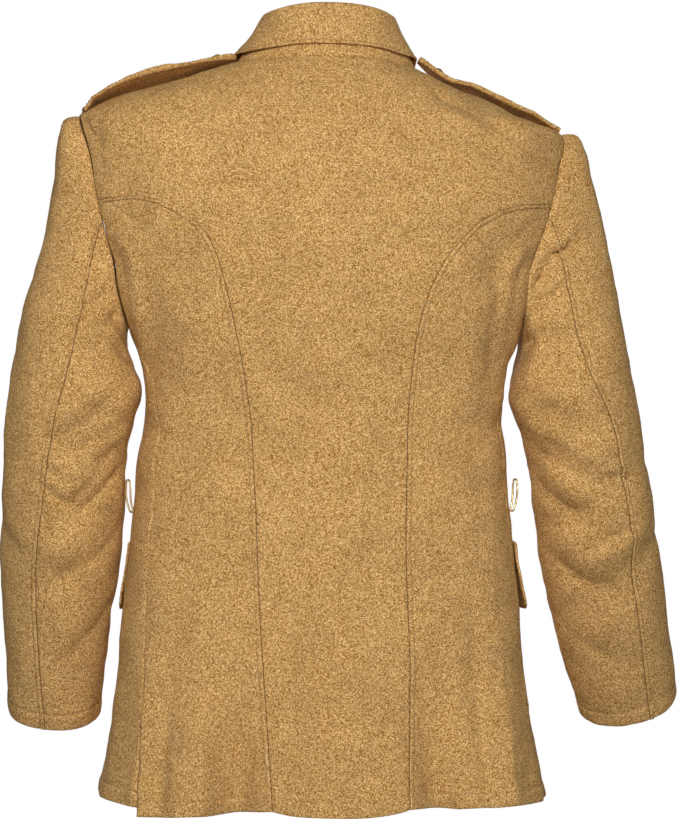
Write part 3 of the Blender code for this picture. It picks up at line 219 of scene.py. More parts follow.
SMALL_FOLDS = (
    Fold("left_tip_crease", 1, 0.243, -0.066, 0.221, -0.097, 0.0040, -0.0016, -0.0008),
    Fold("left_tip_ridge", 1, 0.236, -0.070, 0.218, -0.110, 0.0050, 0.0010, 0.0006),
    Fold("left_tip_second", 1, 0.230, -0.078, 0.224, -0.120, 0.0040, -0.0012, -0.0004),
    Fold("right_shoulder_drag", 1, -0.112, -0.040, -0.190, -0.082, 0.0090, -0.0016, -0.0010),
    Fold("right_shoulder_ridge", 1, -0.118, -0.060, -0.186, -0.098, 0.0100, 0.0012, 0.0007),
    Fold("right_shoulder_low", 1, -0.130, -0.082, -0.205, -0.120, 0.0110, -0.0009, -0.0012),
    Fold("left_shoulder_drag", 1, 0.120, -0.048, 0.190, -0.075, 0.0120, -0.0010, -0.0006),
    Fold("left_blade_drag", 1, 0.200, -0.165, 0.132, -0.245, 0.0130, -0.0014, -0.0004),
    Fold("left_blade_ridge", 1, 0.205, -0.190, 0.150, -0.262, 0.0090, 0.0013, 0.0003),
    Fold("right_blade_drag", 1, -0.196, -0.175, -0.122, -0.250, 0.0130, -0.0014, -0.0004),
    Fold("right_blade_ridge", 1, -0.190, -0.200, -0.136, -0.272, 0.0090, 0.0012, 0.0003),
    Fold("left_pleat_one", 1, 0.208, -0.205, 0.196, -0.300, 0.0067, -0.0009, -0.0004),
    Fold("left_pleat_two", 1, 0.197, -0.215, 0.184, -0.318, 0.0075, 0.0007, 0.0002),
    Fold("left_pleat_three", 1, 0.186, -0.212, 0.172, -0.330, 0.0075, -0.0009, -0.0003),
    Fold("left_pleat_four", 1, 0.174, -0.225, 0.162, -0.345, 0.0105, 0.0005, 0.0002),
    Fold("left_pleat_five", 1, 0.160, -0.235, 0.150, -0.350, 0.0105, -0.0004, -0.0001),
    Fold("right_pleat_one", 1, -0.190, -0.215, -0.182, -0.300, 0.0067, -0.0009, -0.0004),
    Fold("right_pleat_two", 1, -0.180, -0.212, -0.171, -0.312, 0.0075, 0.0007, 0.0002),
    Fold("right_pleat_three", 1, -0.169, -0.220, -0.160, -0.330, 0.0083, -0.0008, -0.0003),
    Fold("right_pleat_four", 1, -0.156, -0.230, -0.148, -0.350, 0.0112, 0.0004, 0.0001),
    Fold("left_waist_drag", 1, 0.190, -0.372, 0.118, -0.392, 0.0090, -0.0012, -0.0003),
    Fold("left_waist_ridge", 1, 0.188, -0.345, 0.124, -0.362, 0.0090, 0.0010, 0.0003),
    Fold("left_hip_drag", 1, 0.194, -0.430, 0.130, -0.452, 0.0110, -0.0009, -0.0002),
    Fold("right_waist_drag", 1, -0.186, -0.366, -0.112, -0.380, 0.0090, -0.0012, -0.0003),
    Fold("right_waist_ridge", 1, -0.184, -0.340, -0.118, -0.352, 0.0080, 0.0010, 0.0003),
    Fold("right_hip_drag", 1, -0.190, -0.420, -0.126, -0.445, 0.0110, -0.0009, -0.0002),
    Fold("middle_hang_one", 1, 0.022, -0.300, 0.016, -0.720, 0.0210, -0.0012, -0.0020),
    Fold("middle_hang_two", 1, -0.030, -0.280, -0.022, -0.720, 0.0240, 0.0010, 0.0018),
    Fold("middle_hang_three", 1, 0.052, -0.420, 0.040, -0.740, 0.0150, 0.0004, 0.0022),
    Fold("blade_dip", 1, -0.004, -0.110, 0.004, -0.280, 0.0350, -0.0010, -0.0016),
    Fold("left_skirt_one", 1, 0.150, -0.520, 0.172, -0.735, 0.0100, -0.0004, -0.0026),
    Fold("left_skirt_two", 1, 0.128, -0.540, 0.132, -0.740, 0.0110, 0.0003, 0.0022),
    Fold("left_skirt_three", 1, 0.174, -0.560, 0.196, -0.735, 0.0080, 0.0003, 0.0020),
    Fold("right_skirt_one", 1, -0.140, -0.540, -0.152, -0.740, 0.0100, -0.0004, -0.0028),
    Fold("right_skirt_two", 1, -0.160, -0.520, -0.180, -0.740, 0.0110, 0.0003, 0.0022),
    Fold("right_skirt_three", 1, -0.120, -0.560, -0.126, -0.740, 0.0100, 0.0002, 0.0018),
    Fold("left_chest_drag", -1, 0.190, -0.160, 0.100, -0.230, 0.0140, -0.0014, -0.0003),
    Fold("left_chest_ridge", -1, 0.196, -0.190, 0.120, -0.265, 0.0100, 0.0013, 0.0003),
    Fold("left_front_pleat", -1, 0.176, -0.210, 0.160, -0.330, 0.0084, -0.0011, -0.0003),
    Fold("left_front_waist", -1, 0.176, -0.350, 0.060, -0.366, 0.0100, -0.0013, -0.0003),
    Fold("left_front_hip", -1, 0.180, -0.410, 0.090, -0.430, 0.0110, 0.0010, 0.0002),
    Fold("right_chest_drag", -1, -0.190, -0.168, -0.104, -0.238, 0.0140, -0.0014, -0.0003),
    Fold("right_chest_ridge", -1, -0.192, -0.196, -0.116, -0.272, 0.0100, 0.0013, 0.0003),
    Fold("right_front_pleat", -1, -0.172, -0.215, -0.158, -0.335, 0.0084, -0.0011, -0.0003),
    Fold("right_front_waist", -1, -0.174, -0.344, -0.064, -0.360, 0.0100, -0.0013, -0.0003),
    Fold("right_front_hip", -1, -0.178, -0.404, -0.092, -0.424, 0.0110, 0.0010, 0.0002),
    Fold("left_front_skirt", -1, 0.150, -0.580, 0.166, -0.738, 0.0140, 0.0003, 0.0026),
    Fold("right_front_skirt", -1, -0.146, -0.580, -0.162, -0.738, 0.0140, 0.0003, 0.0026),
)


SMALL_DEPTH = 3.0         # how many times deeper the small ones are than their tables say
SOFT = 2.0                # power of a round profile
PINCH = 1.3               # power of a pinched one
SMALL_FOLDS = [fold._replace(depth0=fold.depth0 * SMALL_DEPTH, depth1=fold.depth1 * SMALL_DEPTH)
               for fold in SMALL_FOLDS]


FACE_EASE = 0.035         # half depth of the body over which a fold fades round its side


def fold_height(points, folds, sharp=SOFT):
    """How far some folds lift the spots of the body off their surface; a low sharp pinches them."""
    lift = np.zeros(points.shape[:-1])
    for fold in folds:
        face = smooth_step(0.0, FACE_EASE, points[..., 1] * fold.face)
        run = np.array([fold.x1 - fold.x0, fold.z1 - fold.z0])
        reach_x, reach_z = points[..., 0] - fold.x0, points[..., 2] - fold.z0
        length = np.linalg.norm(run)
        along = (reach_x * run[0] + reach_z * run[1]) / length**2
        across = (reach_x * run[1] - reach_z * run[0]) / length
        depth = fold.depth0 + (fold.depth1 - fold.depth0) * np.clip(along, 0.0, 1.0)
        ends = smooth_step(-0.25, 0.05, along) * (1 - smooth_step(0.95, 1.25, along))
        lift += face * ends * depth * np.exp(-np.abs(across / fold.width) ** sharp)
    return lift


def normal_of(surface, a, b):
    """Outward direction of a surface; a runs round and b runs up."""
    step = 1e-4
    round_way = surface(a + step * 5, b) - surface(a - step * 5, b)
    up_way = surface(a, b + step) - surface(a, b - step)
    return unit(np.cross(round_way, up_way))


def body(angle, level):
    plain = body_plain(angle, level)
    lift = fold_height(plain, BODY_FOLDS)
    return plain + normal_of(body_plain, angle, level) * lift[..., None]


def body_normal(angle, level):
    return normal_of(body, angle, level)


Wave = namedtuple("Wave", "length height seed")
WAVES = (Wave(0.070, 0.00050, 3), Wave(0.041, 0.00038, 5), Wave(0.024, 0.00024, 11),
         Wave(0.015, 0.00014, 17), Wave(0.009, 0.00007, 23))


def unevenness(points):
    """Slight waviness of milled cloth: a few crossing waves in seeded directions."""
    lift = np.zeros(points.shape[:-1])
    for wave in WAVES:
        chance = np.random.default_rng(wave.seed)
        for way in unit(chance.normal(size=(5, 3))):
            phase = chance.uniform(0, 2 * math.pi)
            lift += wave.height / 2 * np.sin(points @ way * 2 * math.pi / wave.length + phase)
    return lift


print(len(BODY_FOLDS), "large folds and", len(SMALL_FOLDS), "small ones")

# %% [markdown]
# ## Where one cut piece meets the next
#
# Neighbouring pieces share a seam line, so the line is worked out once and both pieces are made
# from it. Seams are given as spots, an angle round the body and a level up it. The armhole is a
# loop, read by a way that runs from 0 at the underarm, up the back to pi at the shoulder tip, and
# on down the front.

# %% Seam lines
LOW_ARMHOLE_ROWS = 6
HIGH_ARMHOLE_ROWS = 3
ARMHOLE_ROWS = LOW_ARMHOLE_ROWS + HIGH_ARMHOLE_ROWS
SIDE_ROWS = 16
SHOULDER_ROWS = 6
HEM_LIFT = 0.006
FINE = 8                  # spots of a seam line to one row of the solids


def side_angle(side, turn):
    """Angle round the body of a spot that is turned back from the side line."""
    return turn if side == "left" else math.pi - turn


def armhole_at(side, way):
    """Spots of the armhole at each way round it."""
    way = np.asarray(way, float)
    behind = (way >= 0) & (way <= math.pi)
    swing = np.where(way < 0, -way, np.where(way > math.pi, 2 * math.pi - way, way))
    back, front = [row for row in ARMHOLES if row.side == side]
    rise = (1 - np.cos(swing)) / 2
    level = LEVEL_OF["underarm"] + (LEVEL_OF["tip"] - LEVEL_OF["underarm"]) * rise
    ring = ring_at(level)
    skew = np.where(behind, back.skew, front.skew)
    reach = (np.where(behind, back.depth, front.depth) * np.abs(np.sin(swing)) ** ARMHOLE_ROUND
             * (1 + skew * np.cos(swing)))
    turn = np.arcsin((reach / np.where(behind, ring.back, ring.front)) ** (ring.square / 2))
    return np.stack([side_angle(side, np.where(behind, turn, -turn)), level], axis=-1)


def level_at(z, angle_at):
    """Level where a line up the body reaches a height; angle_at gives its angle at a level."""
    low, high = 0.0, LEVELS[-1]
    for _ in range(40):
        level = (low + high) / 2
        if body_plain(angle_at(level), level)[2] < z:
            low = level
        else:
            high = level
    return level


def spot_from_size(side, x, z):
    """Angle and level of the spot of the back at a half width and a height."""
    def angle_at(level):
        ring = ring_at(level)
        half = float(ring.half_left if side == "left" else ring.half_right)
        return side_angle(side, math.acos(min(x / half, 1.0) ** (float(ring.square) / 2)))

    level = level_at(z, angle_at)
    return angle_at(level), level


def lengths_along(points):
    return np.concatenate([[0], np.cumsum(np.linalg.norm(np.diff(points, axis=0), axis=1))])


def back_seam(side):
    """From the hem up to the armhole, in even steps of cloth."""
    spots = [spot_from_size(side, spot.x, spot.z) for spot in BACK_SEAM[side]]
    spots[0] = (spots[0][0], HEM_LIFT)
    spots.append(tuple(armhole_at(side, JOIN_ANGLE[side])))
    spots = np.array(spots)
    knots = lengths_along(body_plain(spots[:, 0], spots[:, 1]))
    steps = (SIDE_ROWS + LOW_ARMHOLE_ROWS) * FINE
    return smooth_curve(knots, spots, np.linspace(0, knots[-1], steps + 1))


def side_seam(side):
    heights = [row.z for row in SIDE_SEAM[side]]
    turns = np.radians([row.turn for row in SIDE_SEAM[side]])
    level = np.linspace(0.0, LEVEL_OF["underarm"], SIDE_ROWS * FINE + 1)
    ring = ring_at(level)
    turn = smooth_curve(heights, turns, ring.z_left if side == "left" else ring.z_right)
    spots = np.stack([side_angle(side, turn), level], axis=-1)
    spots[-1] = armhole_at(side, 0.0)
    return spots


def back_ways(side):
    low = np.linspace(0.0, JOIN_ANGLE[side], LOW_ARMHOLE_ROWS * FINE + 1)
    high = np.linspace(JOIN_ANGLE[side], math.pi, HIGH_ARMHOLE_ROWS * FINE + 1)
    return np.concatenate([low, high[1:]])


def front_ways():
    return -np.linspace(0.0, math.pi, ARMHOLE_ROWS * FINE + 1)


def shoulder_seam(side):
    level = np.linspace(LEVEL_OF["tip"], LEVEL_OF["neck"], SHOULDER_ROWS * FINE + 1)
    return np.stack([np.full_like(level, side_angle(side, 0.0)), level], axis=-1)


print("back seam", round(float(lengths_along(body(*back_seam("left").T))[-1]), 3), "m long")

# %% [markdown]
# ## A wall of cloth from a grid of spots
#
# Each piece becomes a grid of points, fine enough for creases and finer beside its edges, where
# the cloth rolls into the seam. The same grid moved in by the cloth's thickness makes the inside.
# Beside a stitched seam the turnings lie under the cloth and lift it: a low welt, with the row of
# stitching pressed in along its edge. Building this into the mesh makes it catch real light.

# %% Grids with close rows and columns at their edges
STEP = 0.0043             # usual size of a square of the grid
ROLL = 0.0017             # how far a sewn edge dips into its seam
ROLL_UNDER = 0.0003       # how far its inside rounds off there
HEM_ROLL = 0.0009         # how far a turned edge rounds off, on each face
ROLL_REACH = 0.0012
WELT = 0.0050             # from a seam to the stitching beside it
FALL_STITCH = WELT * 0.85     # from the edge of the collar to its stitching
FLAP_STITCH = WELT * 0.9
WELT_HEIGHT = 0.0011
STITCH_DIP = 0.0013
STITCH_WIDTH = 0.0010
EDGE_SPOTS = (0.0, 0.0006, 0.0013, 0.0022, 0.0034, 0.0042, WELT, 0.0058, 0.0070, 0.0088, 0.0115)
Edge = namedtuple("Edge", "roll under stitch welt")     # stitch 0 is an edge without a row
PLAIN_SEAM = Edge(ROLL, ROLL_UNDER, 0.0, 0.0)
WELT_SEAM = Edge(ROLL, ROLL_UNDER, WELT, WELT_HEIGHT)
TURNED = Edge(HEM_ROLL, HEM_ROLL, 0.0, 0.0)
HEM_STITCH = 0.0155       # from the hem up to its row of stitching
CUFF_STITCH = 0.0180
HEM_WELT = 0.0009
HEM_EDGE = Edge(HEM_ROLL, HEM_ROLL, HEM_STITCH, HEM_WELT)
CUFF_EDGE = Edge(HEM_ROLL, HEM_ROLL, CUFF_STITCH, HEM_WELT)


def edge_stations(length, first, last, step=STEP):
    """Distances along a line, close together at both ends and at the rows of stitching."""
    near = [list(EDGE_SPOTS), list(EDGE_SPOTS)]
    for k, edge in enumerate((first, last)):
        if edge.stitch > EDGE_SPOTS[-1]:
            near[k] += [edge.stitch + off for off in (-0.0013, 0.0, 0.0013, 0.0032)]
    scale = min(1.0, 0.45 * length / max(near[0][-1], near[1][-1]))
    start, end = np.array(near[0]) * scale, length - np.array(near[1][::-1]) * scale
    count = max(1, round((end[0] - start[-1]) / step))
    middle = np.linspace(start[-1], end[0], count + 1)[1:-1]
    return np.concatenate([start, middle, end])


def stretch_stations(stations, length):
    """Fit stations made for one length to others, keeping the distances beside both ends."""
    whole = stations[-1]
    near = EDGE_SPOTS[-1]
    length = np.asarray(length, float)[..., None]
    scale = np.minimum(1.0, 0.45 * length / near)
    inner = (stations - near) / (whole - 2 * near)
    middle = near * scale + inner * (length - 2 * near * scale)
    fitted = np.where(stations < near, stations * scale,
                      np.where(stations > whole - near, length - (whole - stations) * scale, middle))
    return fitted / length


def turning(points, normals, row, column, inside):
    """Carry one edge of a grid on past its seam line."""
    line, line_normals = points[row, column], normals[row, column]
    across = np.cross(line_normals, np.gradient(line, axis=0))
    across = across / np.maximum(np.linalg.norm(across, axis=-1, keepdims=True), 1e-12)
    return across * -np.copysign(SEAM_OVERLAP, dot(across, inside - line))[:, None]


def close_seams(points, normals):
    """Let the four edges run on a little, so that no light shows between two pieces."""
    moved = points.copy()
    whole = slice(None)
    for row, column, inner in ((0, whole, (1, whole)), (-1, whole, (-2, whole)),
                               (whole, 0, (whole, 1)), (whole, -1, (whole, -2))):
        moved[row, column] += turning(points, normals, row, column, points[inner])
    return moved


def grid_normals(points, outward):
    """Directions off a grid of points, turned to the side that outward points to."""
    normals = np.cross(np.gradient(points, axis=1), np.gradient(points, axis=0))
    normals = unit(normals)
    return normals * np.sign(np.sum(normals * outward, axis=-1, keepdims=True))


def edge_forms(points, edges):
    """How far the four edges roll in, outside and inside, and how far welts lift the outside."""
    across = np.linalg.norm(np.diff(points, axis=1), axis=-1)
    along = np.linalg.norm(np.diff(points, axis=0), axis=-1)
    zero_column, zero_row = np.zeros((points.shape[0], 1)), np.zeros((1, points.shape[1]))
    from_left = np.concatenate([zero_column, np.cumsum(across, axis=1)], axis=1)
    from_first = np.concatenate([zero_row, np.cumsum(along, axis=0)], axis=0)
    away = (from_first, from_first[-1:] - from_first, from_left, from_left[:, -1:] - from_left)
    roll, under, lift = (np.zeros(points.shape[:2]) for _ in range(3))
    for edge, reach in zip(edges, away):
        fade = np.exp(-(reach / ROLL_REACH))
        roll = np.maximum(roll, edge.roll * fade)
        under = np.maximum(under, edge.under * fade)
        if edge.stitch:
            lift += edge.welt * (1 - smooth_step(edge.stitch * 0.9, edge.stitch * 1.3, reach))
            lift -= STITCH_DIP * np.exp(-((reach - edge.stitch) / STITCH_WIDTH) ** 2)
    return roll, under, lift


def link_mesh(name, points, faces):
    mesh = bpy.data.meshes.new(name)
    mesh.from_pydata(np.asarray(points).tolist(), [], faces)
    mesh.shade_smooth()
    thing = bpy.data.objects.new(name, mesh)
    bpy.context.scene.collection.objects.link(thing)
    return thing


def wall_faces(rows, columns):
    """Quads of an outer grid, of the same grid inside, and of the rim that joins them."""
    index = np.arange(rows * columns).reshape(rows, columns)
    a, b = index[:-1, :-1].ravel(), index[:-1, 1:].ravel()
    c, d = index[1:, 1:].ravel(), index[1:, :-1].ravel()
    count = rows * columns
    outer = np.stack([a, b, c, d], axis=1)
    inner = outer[:, ::-1] + count
    rim = np.concatenate([index[0], index[1:, -1], index[-1, -2::-1], index[-2:0:-1, 0]])
    after = np.roll(rim, -1)
    sides = np.stack([after, rim, rim + count, after + count], axis=1)
    return np.concatenate([outer, inner, sides]).tolist()


CLOTHS = {}
TRIAL_SPOTS = 13          # spots of a row that measure its width


def cloth_wall(name, points, normals, edges, wall=WALL):
    """The piece of cloth: keeps its outer grid, so that stitching can follow its rows."""
    facing = np.cross(np.gradient(points, axis=1), np.gradient(points, axis=0)) * normals
    flipped = float(np.sum(facing)) < 0
    if flipped:
        points, normals = points[:, ::-1], normals[:, ::-1]
        edges = (edges[0], edges[1], edges[3], edges[2])
    roll, under, lift = edge_forms(points, edges)
    wave = unevenness(points)
    outer = points + normals * (lift - roll + wave)[..., None]
    inner = points - normals * (wall - under - wave)[..., None]
    thing = link_mesh(name, np.concatenate([outer.reshape(-1, 3), inner.reshape(-1, 3)]),
                      wall_faces(*points.shape[:2]))
    CLOTHS[name] = {"piece": thing, "outer": outer, "normals": normals, "flipped": flipped,
                    "with": []}
    return thing


def rows_between(table, kinks, first, last, step=STEP):
    """Places along a seam table, close at both ends and with one row on each kink."""
    lengths = lengths_along(body(table[:, 0], table[:, 1]))
    whole = edge_stations(lengths[-1], first, last, step)
    marks = np.array([lengths[kink * FINE] for kink in kinks])
    for mark in marks:
        nearest = int(np.argmin(np.abs(whole - mark)))
        whole[nearest] = mark
    return np.interp(whole, lengths, np.arange(len(lengths)))


def read_table(table, places):
    index = np.arange(len(table))
    return np.stack([np.interp(places, index, table[:, k]) for k in range(table.shape[1])], axis=-1)


def body_piece(name, across, left, right, places, edges, drop=None):
    """A panel of the body. across gives its spots for shares of the way over each row."""
    trial = np.linspace(0, 1, TRIAL_SPOTS)
    spots = across(np.broadcast_to(trial, (len(places), TRIAL_SPOTS)), left, right, places)
    widths = np.sum(np.linalg.norm(np.diff(body_plain(spots[..., 0], spots[..., 1]), axis=1), axis=-1),
                    axis=1)
    stations = edge_stations(float(widths.max()), edges[2], edges[3])
    shares = stretch_stations(stations, np.maximum(widths, 0.002))
    spots = across(shares, left, right, places)
    points, normals = body(spots[..., 0], spots[..., 1]), body_normal(spots[..., 0], spots[..., 1])
    small = fold_height(points, SMALL_FOLDS, PINCH)
    if drop is not None:
        small = small - drop(spots, shares)
    points = close_seams(points + normals * small[..., None], normals)
    return cloth_wall(name, points, normals, edges)


print("grid step", STEP * 1000, "mm")

# %% [markdown]
# ## Centre back, side backs and fronts
#
# The back is cut in three: a centre with the yoke in one with it, and a side back on each side,
# joined by the long curved seams. The fronts run from the side seams and armholes round to the
# button line. At the foot of each side seam a slit is left open, with the front lying behind.

# %% The centre back
SIDE_BACK_TIP = 0.12      # the side back ends just short of the armhole corner
left_line = np.concatenate([back_seam("left"),
                            armhole_at("left", back_ways("left"))[LOW_ARMHOLE_ROWS * FINE + 1:],
                            shoulder_seam("left")[1:]])
right_line = np.concatenate([back_seam("right"),
                             armhole_at("right", back_ways("right"))[LOW_ARMHOLE_ROWS * FINE + 1:],
                             shoulder_seam("right")[1:]])
JOIN_ROW = SIDE_ROWS + LOW_ARMHOLE_ROWS
TIP_ROW = JOIN_ROW + HIGH_ARMHOLE_ROWS
middle_levels = np.concatenate([
    np.linspace(0.0, LEVEL_OF["yoke"], JOIN_ROW * FINE + 1),
    np.linspace(LEVEL_OF["yoke"], LEVELS[-1], len(left_line) - JOIN_ROW * FINE)[1:]])


def across_back(shares, left, right, places):
    """Spots of the centre back: its rows bow from the side seams to the middle."""
    a, b = read_table(left, places), read_table(right, places)
    level = read_table(middle_levels[:, None], places)
    angle = a[:, :1] + (b[:, :1] - a[:, :1]) * shares
    edge = np.where(shares < 0.5, a[:, 1:], b[:, 1:])
    return np.stack([angle, level + (edge - level) * np.abs(2 * shares - 1) ** 2], axis=-1)


back_places = rows_between(left_line, (JOIN_ROW, TIP_ROW), HEM_EDGE, PLAIN_SEAM)
body_piece("center_back_cloth", across_back, left_line, right_line, back_places,
           (HEM_EDGE, PLAIN_SEAM, PLAIN_SEAM, PLAIN_SEAM))

print("centre back", CLOTHS["center_back_cloth"]["outer"].shape[:2], "spots")

# %% The side backs
HEM_DROP = {"left": 0.009, "right": 0.001}


def across_straight(shares, left, right, places):
    a, b = read_table(left, places), read_table(right, places)
    return a[:, None, :] * (1 - shares[..., None]) + b[:, None, :] * shares[..., None]


for side in SIDES:
    inner = back_seam(side)
    outer = np.concatenate([side_seam(side),
                            armhole_at(side, back_ways(side))[1:LOW_ARMHOLE_ROWS * FINE + 1]])
    outer[:, 1] -= HEM_DROP[side] * np.clip(1 - np.arange(len(outer)) / FINE, 0, 1)
    end = len(inner) - 1 - SIDE_BACK_TIP
    places = rows_between(outer, (SIDE_ROWS,), HEM_EDGE, PLAIN_SEAM)
    places = np.minimum(places, end)
    places = places[np.concatenate([[True], np.diff(places) > 1e-6])]
    body_piece("side_back_cloth_" + side, across_straight, inner, outer, places,
               (HEM_EDGE, PLAIN_SEAM, WELT_SEAM, PLAIN_SEAM))
print("side backs", CLOTHS["side_back_cloth_left"]["outer"].shape[:2], "spots on the left")

# %% The fronts
VENT_HEIGHT = 0.095       # of the slit, above the hem
VENT_TOP = 0.012          # height of the stretch that eases it closed
VENT_LAP = 0.011
VENT_EASE = 0.060
VENT_WIDTH = 0.15         # share of a front's width that lies back at the slit
LAP_STEP = WALL + 0.0009
FRONT_STEP = WALL + 0.0022
FRONT_LAP = 0.018
FRONT_STEP_FROM = 0.070
FRONT_STEP_TO = 0.026
FRONT_WELT = 0.0003
front_hem = (HEM_EDGE, PLAIN_SEAM, PLAIN_SEAM, Edge(HEM_ROLL, HEM_ROLL, WELT, FRONT_WELT))


def front_edge(side, level):
    """Angle of a front's free edge, a little past the middle of the body."""
    ring = ring_at(level)
    half = ring.half_right if side == "left" else ring.half_left
    past = np.arcsin((FRONT_LAP / half) ** (ring.square / 2))
    return side_angle(side, -(math.pi / 2 + past))


def front_drop(side, above, spots, shares):
    """How far a front lies behind its surface, at the slit and under the other front."""
    vent = 1 - smooth_step(VENT_HEIGHT - VENT_TOP, VENT_HEIGHT, above)
    drop = LAP_STEP * np.clip(1 - shares / VENT_WIDTH, 0, 1) * vent
    if side == "right":
        x = body_plain(spots[..., 0], spots[..., 1])[..., 0]
        drop = drop + FRONT_STEP * smooth_step(-FRONT_STEP_FROM, -FRONT_STEP_TO, x)
    return drop


def front_lines(side):
    """The side and shoulder line of a front, its height above the hem, and the free edge."""
    outer = np.concatenate([side_seam(side), armhole_at(side, front_ways())[1:],
                            shoulder_seam(side)[1:]])
    level = np.linspace(0.0, LEVELS[-1], len(outer))
    inner = np.stack([front_edge(side, level), level], axis=-1)
    vent_turn = math.copysign(1.0, outer[0][0] - inner[0][0])
    heights = body_plain(outer[:, 0], outer[:, 1])[:, 2]
    above_hem = heights - heights[0]
    lap = VENT_LAP * smooth_step(VENT_HEIGHT, VENT_HEIGHT - VENT_EASE, above_hem)
    outer[:, 0] += vent_turn * np.where(above_hem < VENT_HEIGHT, lap, 0.0) / RINGS[0].half_left
    return outer, inner, above_hem


for side in SIDES:
    outer, inner, above_hem = front_lines(side)
    places = rows_between(outer, (SIDE_ROWS, SIDE_ROWS + ARMHOLE_ROWS), HEM_EDGE, PLAIN_SEAM)
    above = np.interp(places, np.arange(len(outer)), above_hem)[:, None]
    drop = partial(front_drop, side, above)
    body_piece("front_cloth_" + side, across_straight, outer, inner, places, front_hem, drop)
print({name: cloth["outer"].shape[:2] for name, cloth in CLOTHS.items()})

# %% [markdown]
# ## The two-piece sleeves
#
# Each sleeve is an outer and an under piece, cut with a bend at the elbow. Below the upper arm the
# surface is a tube of rings along a bent line. Above it, each line of cloth runs on as a smooth
# curve from the tube up to its own place on the armhole, and swells out into the sleeve head.
# Three kinds of crease lie over it. The large ones are in the solids too and go by a turn round the
# sleeve and a distance down it. The small ones go the same way. The pressed ones are lines drawn
# across the back, where an arm bends the cloth at the elbow and the armpit.

# %% The sleeve surface
SleeveRing = namedtuple("SleeveRing", "name x y z half_width half_depth seam_turn")
SLEEVE_RINGS = {
    "left": (SleeveRing("upper_arm", 0.2526, -0.004, -0.330, 0.0652, 0.064, 78),
             SleeveRing("biceps", 0.2588, -0.007, -0.362, 0.0640, 0.064, 76),
             SleeveRing("above_elbow", 0.2638, -0.011, -0.395, 0.0628, 0.063, 74),
             SleeveRing("elbow", 0.2652, -0.022, -0.450, 0.0630, 0.061, 69),
             SleeveRing("forearm", 0.2692, -0.040, -0.520, 0.0597, 0.058, 66),
             SleeveRing("low_forearm", 0.2725, -0.060, -0.590, 0.0534, 0.053, 70),
             SleeveRing("cuff", 0.2750, -0.086, -0.666, 0.0470, 0.050, 78)),
    "right": (SleeveRing("upper_arm", -0.2545, -0.004, -0.330, 0.0640, 0.064, 74),
              SleeveRing("biceps", -0.2640, -0.007, -0.362, 0.0615, 0.064, 68),
              SleeveRing("above_elbow", -0.2702, -0.011, -0.395, 0.0608, 0.063, 63),
              SleeveRing("elbow", -0.2802, -0.022, -0.450, 0.0622, 0.060, 63),
              SleeveRing("forearm", -0.2935, -0.042, -0.520, 0.0618, 0.056, 66),
              SleeveRing("low_forearm", -0.3110, -0.066, -0.590, 0.0585, 0.051, 67),
              SleeveRing("cuff", -0.3325, -0.100, -0.664, 0.0520, 0.047, 71)),
}
FRONT_SEAM_TURN = 232
ARMHOLE_MIDDLE = {"left": np.array([0.232, 0.0, -0.165]), "right": np.array([-0.229, 0.0, -0.172])}
UNDERARM_EASE = 0.0050
HeadSpot = namedtuple("HeadSpot", "share out up")
SLEEVE_HEAD = {
    "left": (HeadSpot(0.00, 0.0, 0.0), HeadSpot(0.03, 0.0112, 0.0052),
             HeadSpot(0.08, 0.0150, 0.0025), HeadSpot(0.16, 0.0125, 0.0),
             HeadSpot(0.34, 0.0042, 0.0), HeadSpot(0.50, 0.0, 0.0),
             HeadSpot(0.70, 0.0015, 0.0), HeadSpot(1.00, 0.0, 0.0)),
    "right": (HeadSpot(0.00, 0.0, 0.0), HeadSpot(0.03, 0.0120, 0.0075),
              HeadSpot(0.08, 0.0180, 0.0050), HeadSpot(0.16, 0.0172, 0.0010),
              HeadSpot(0.34, 0.0148, 0.0), HeadSpot(0.50, 0.0105, 0.0),
              HeadSpot(0.75, 0.0030, 0.0), HeadSpot(1.00, 0.0, 0.0)),
}
Crease = namedtuple("Crease", "name side turn down round width slant depth")
CREASES = (
    Crease("elbow_left", "left", 120, 0.118, 48, 0.013, 0.020, -0.0060),
    Crease("elbow_left_high", "left", 135, 0.060, 40, 0.012, -0.015, -0.0045),
    Crease("elbow_left_bulge", "left", 85, 0.150, 55, 0.020, 0.010, 0.0040),
    Crease("forearm_left", "left", 130, 0.205, 45, 0.014, 0.035, -0.0045),
    Crease("cap_left", "left", 120, -0.020, 45, 0.014, 0.030, -0.0045),
    Crease("bunch_left", "left", 150, -0.008, 32, 0.030, 0.0, 0.0060),
    Crease("bunch_right", "right", 150, -0.004, 32, 0.034, 0.0, 0.0070),
    Crease("elbow_right", "right", 125, 0.120, 50, 0.013, 0.022, -0.0060),
    Crease("elbow_right_high", "right", 140, 0.060, 42, 0.012, 0.020, -0.0045),
    Crease("elbow_right_bulge", "right", 75, 0.150, 50, 0.020, 0.010, 0.0050),
    Crease("forearm_right", "right", 125, 0.215, 45, 0.015, 0.030, -0.0045),
    Crease("cap_right", "right", 115, -0.030, 45, 0.014, 0.035, -0.0050),
)
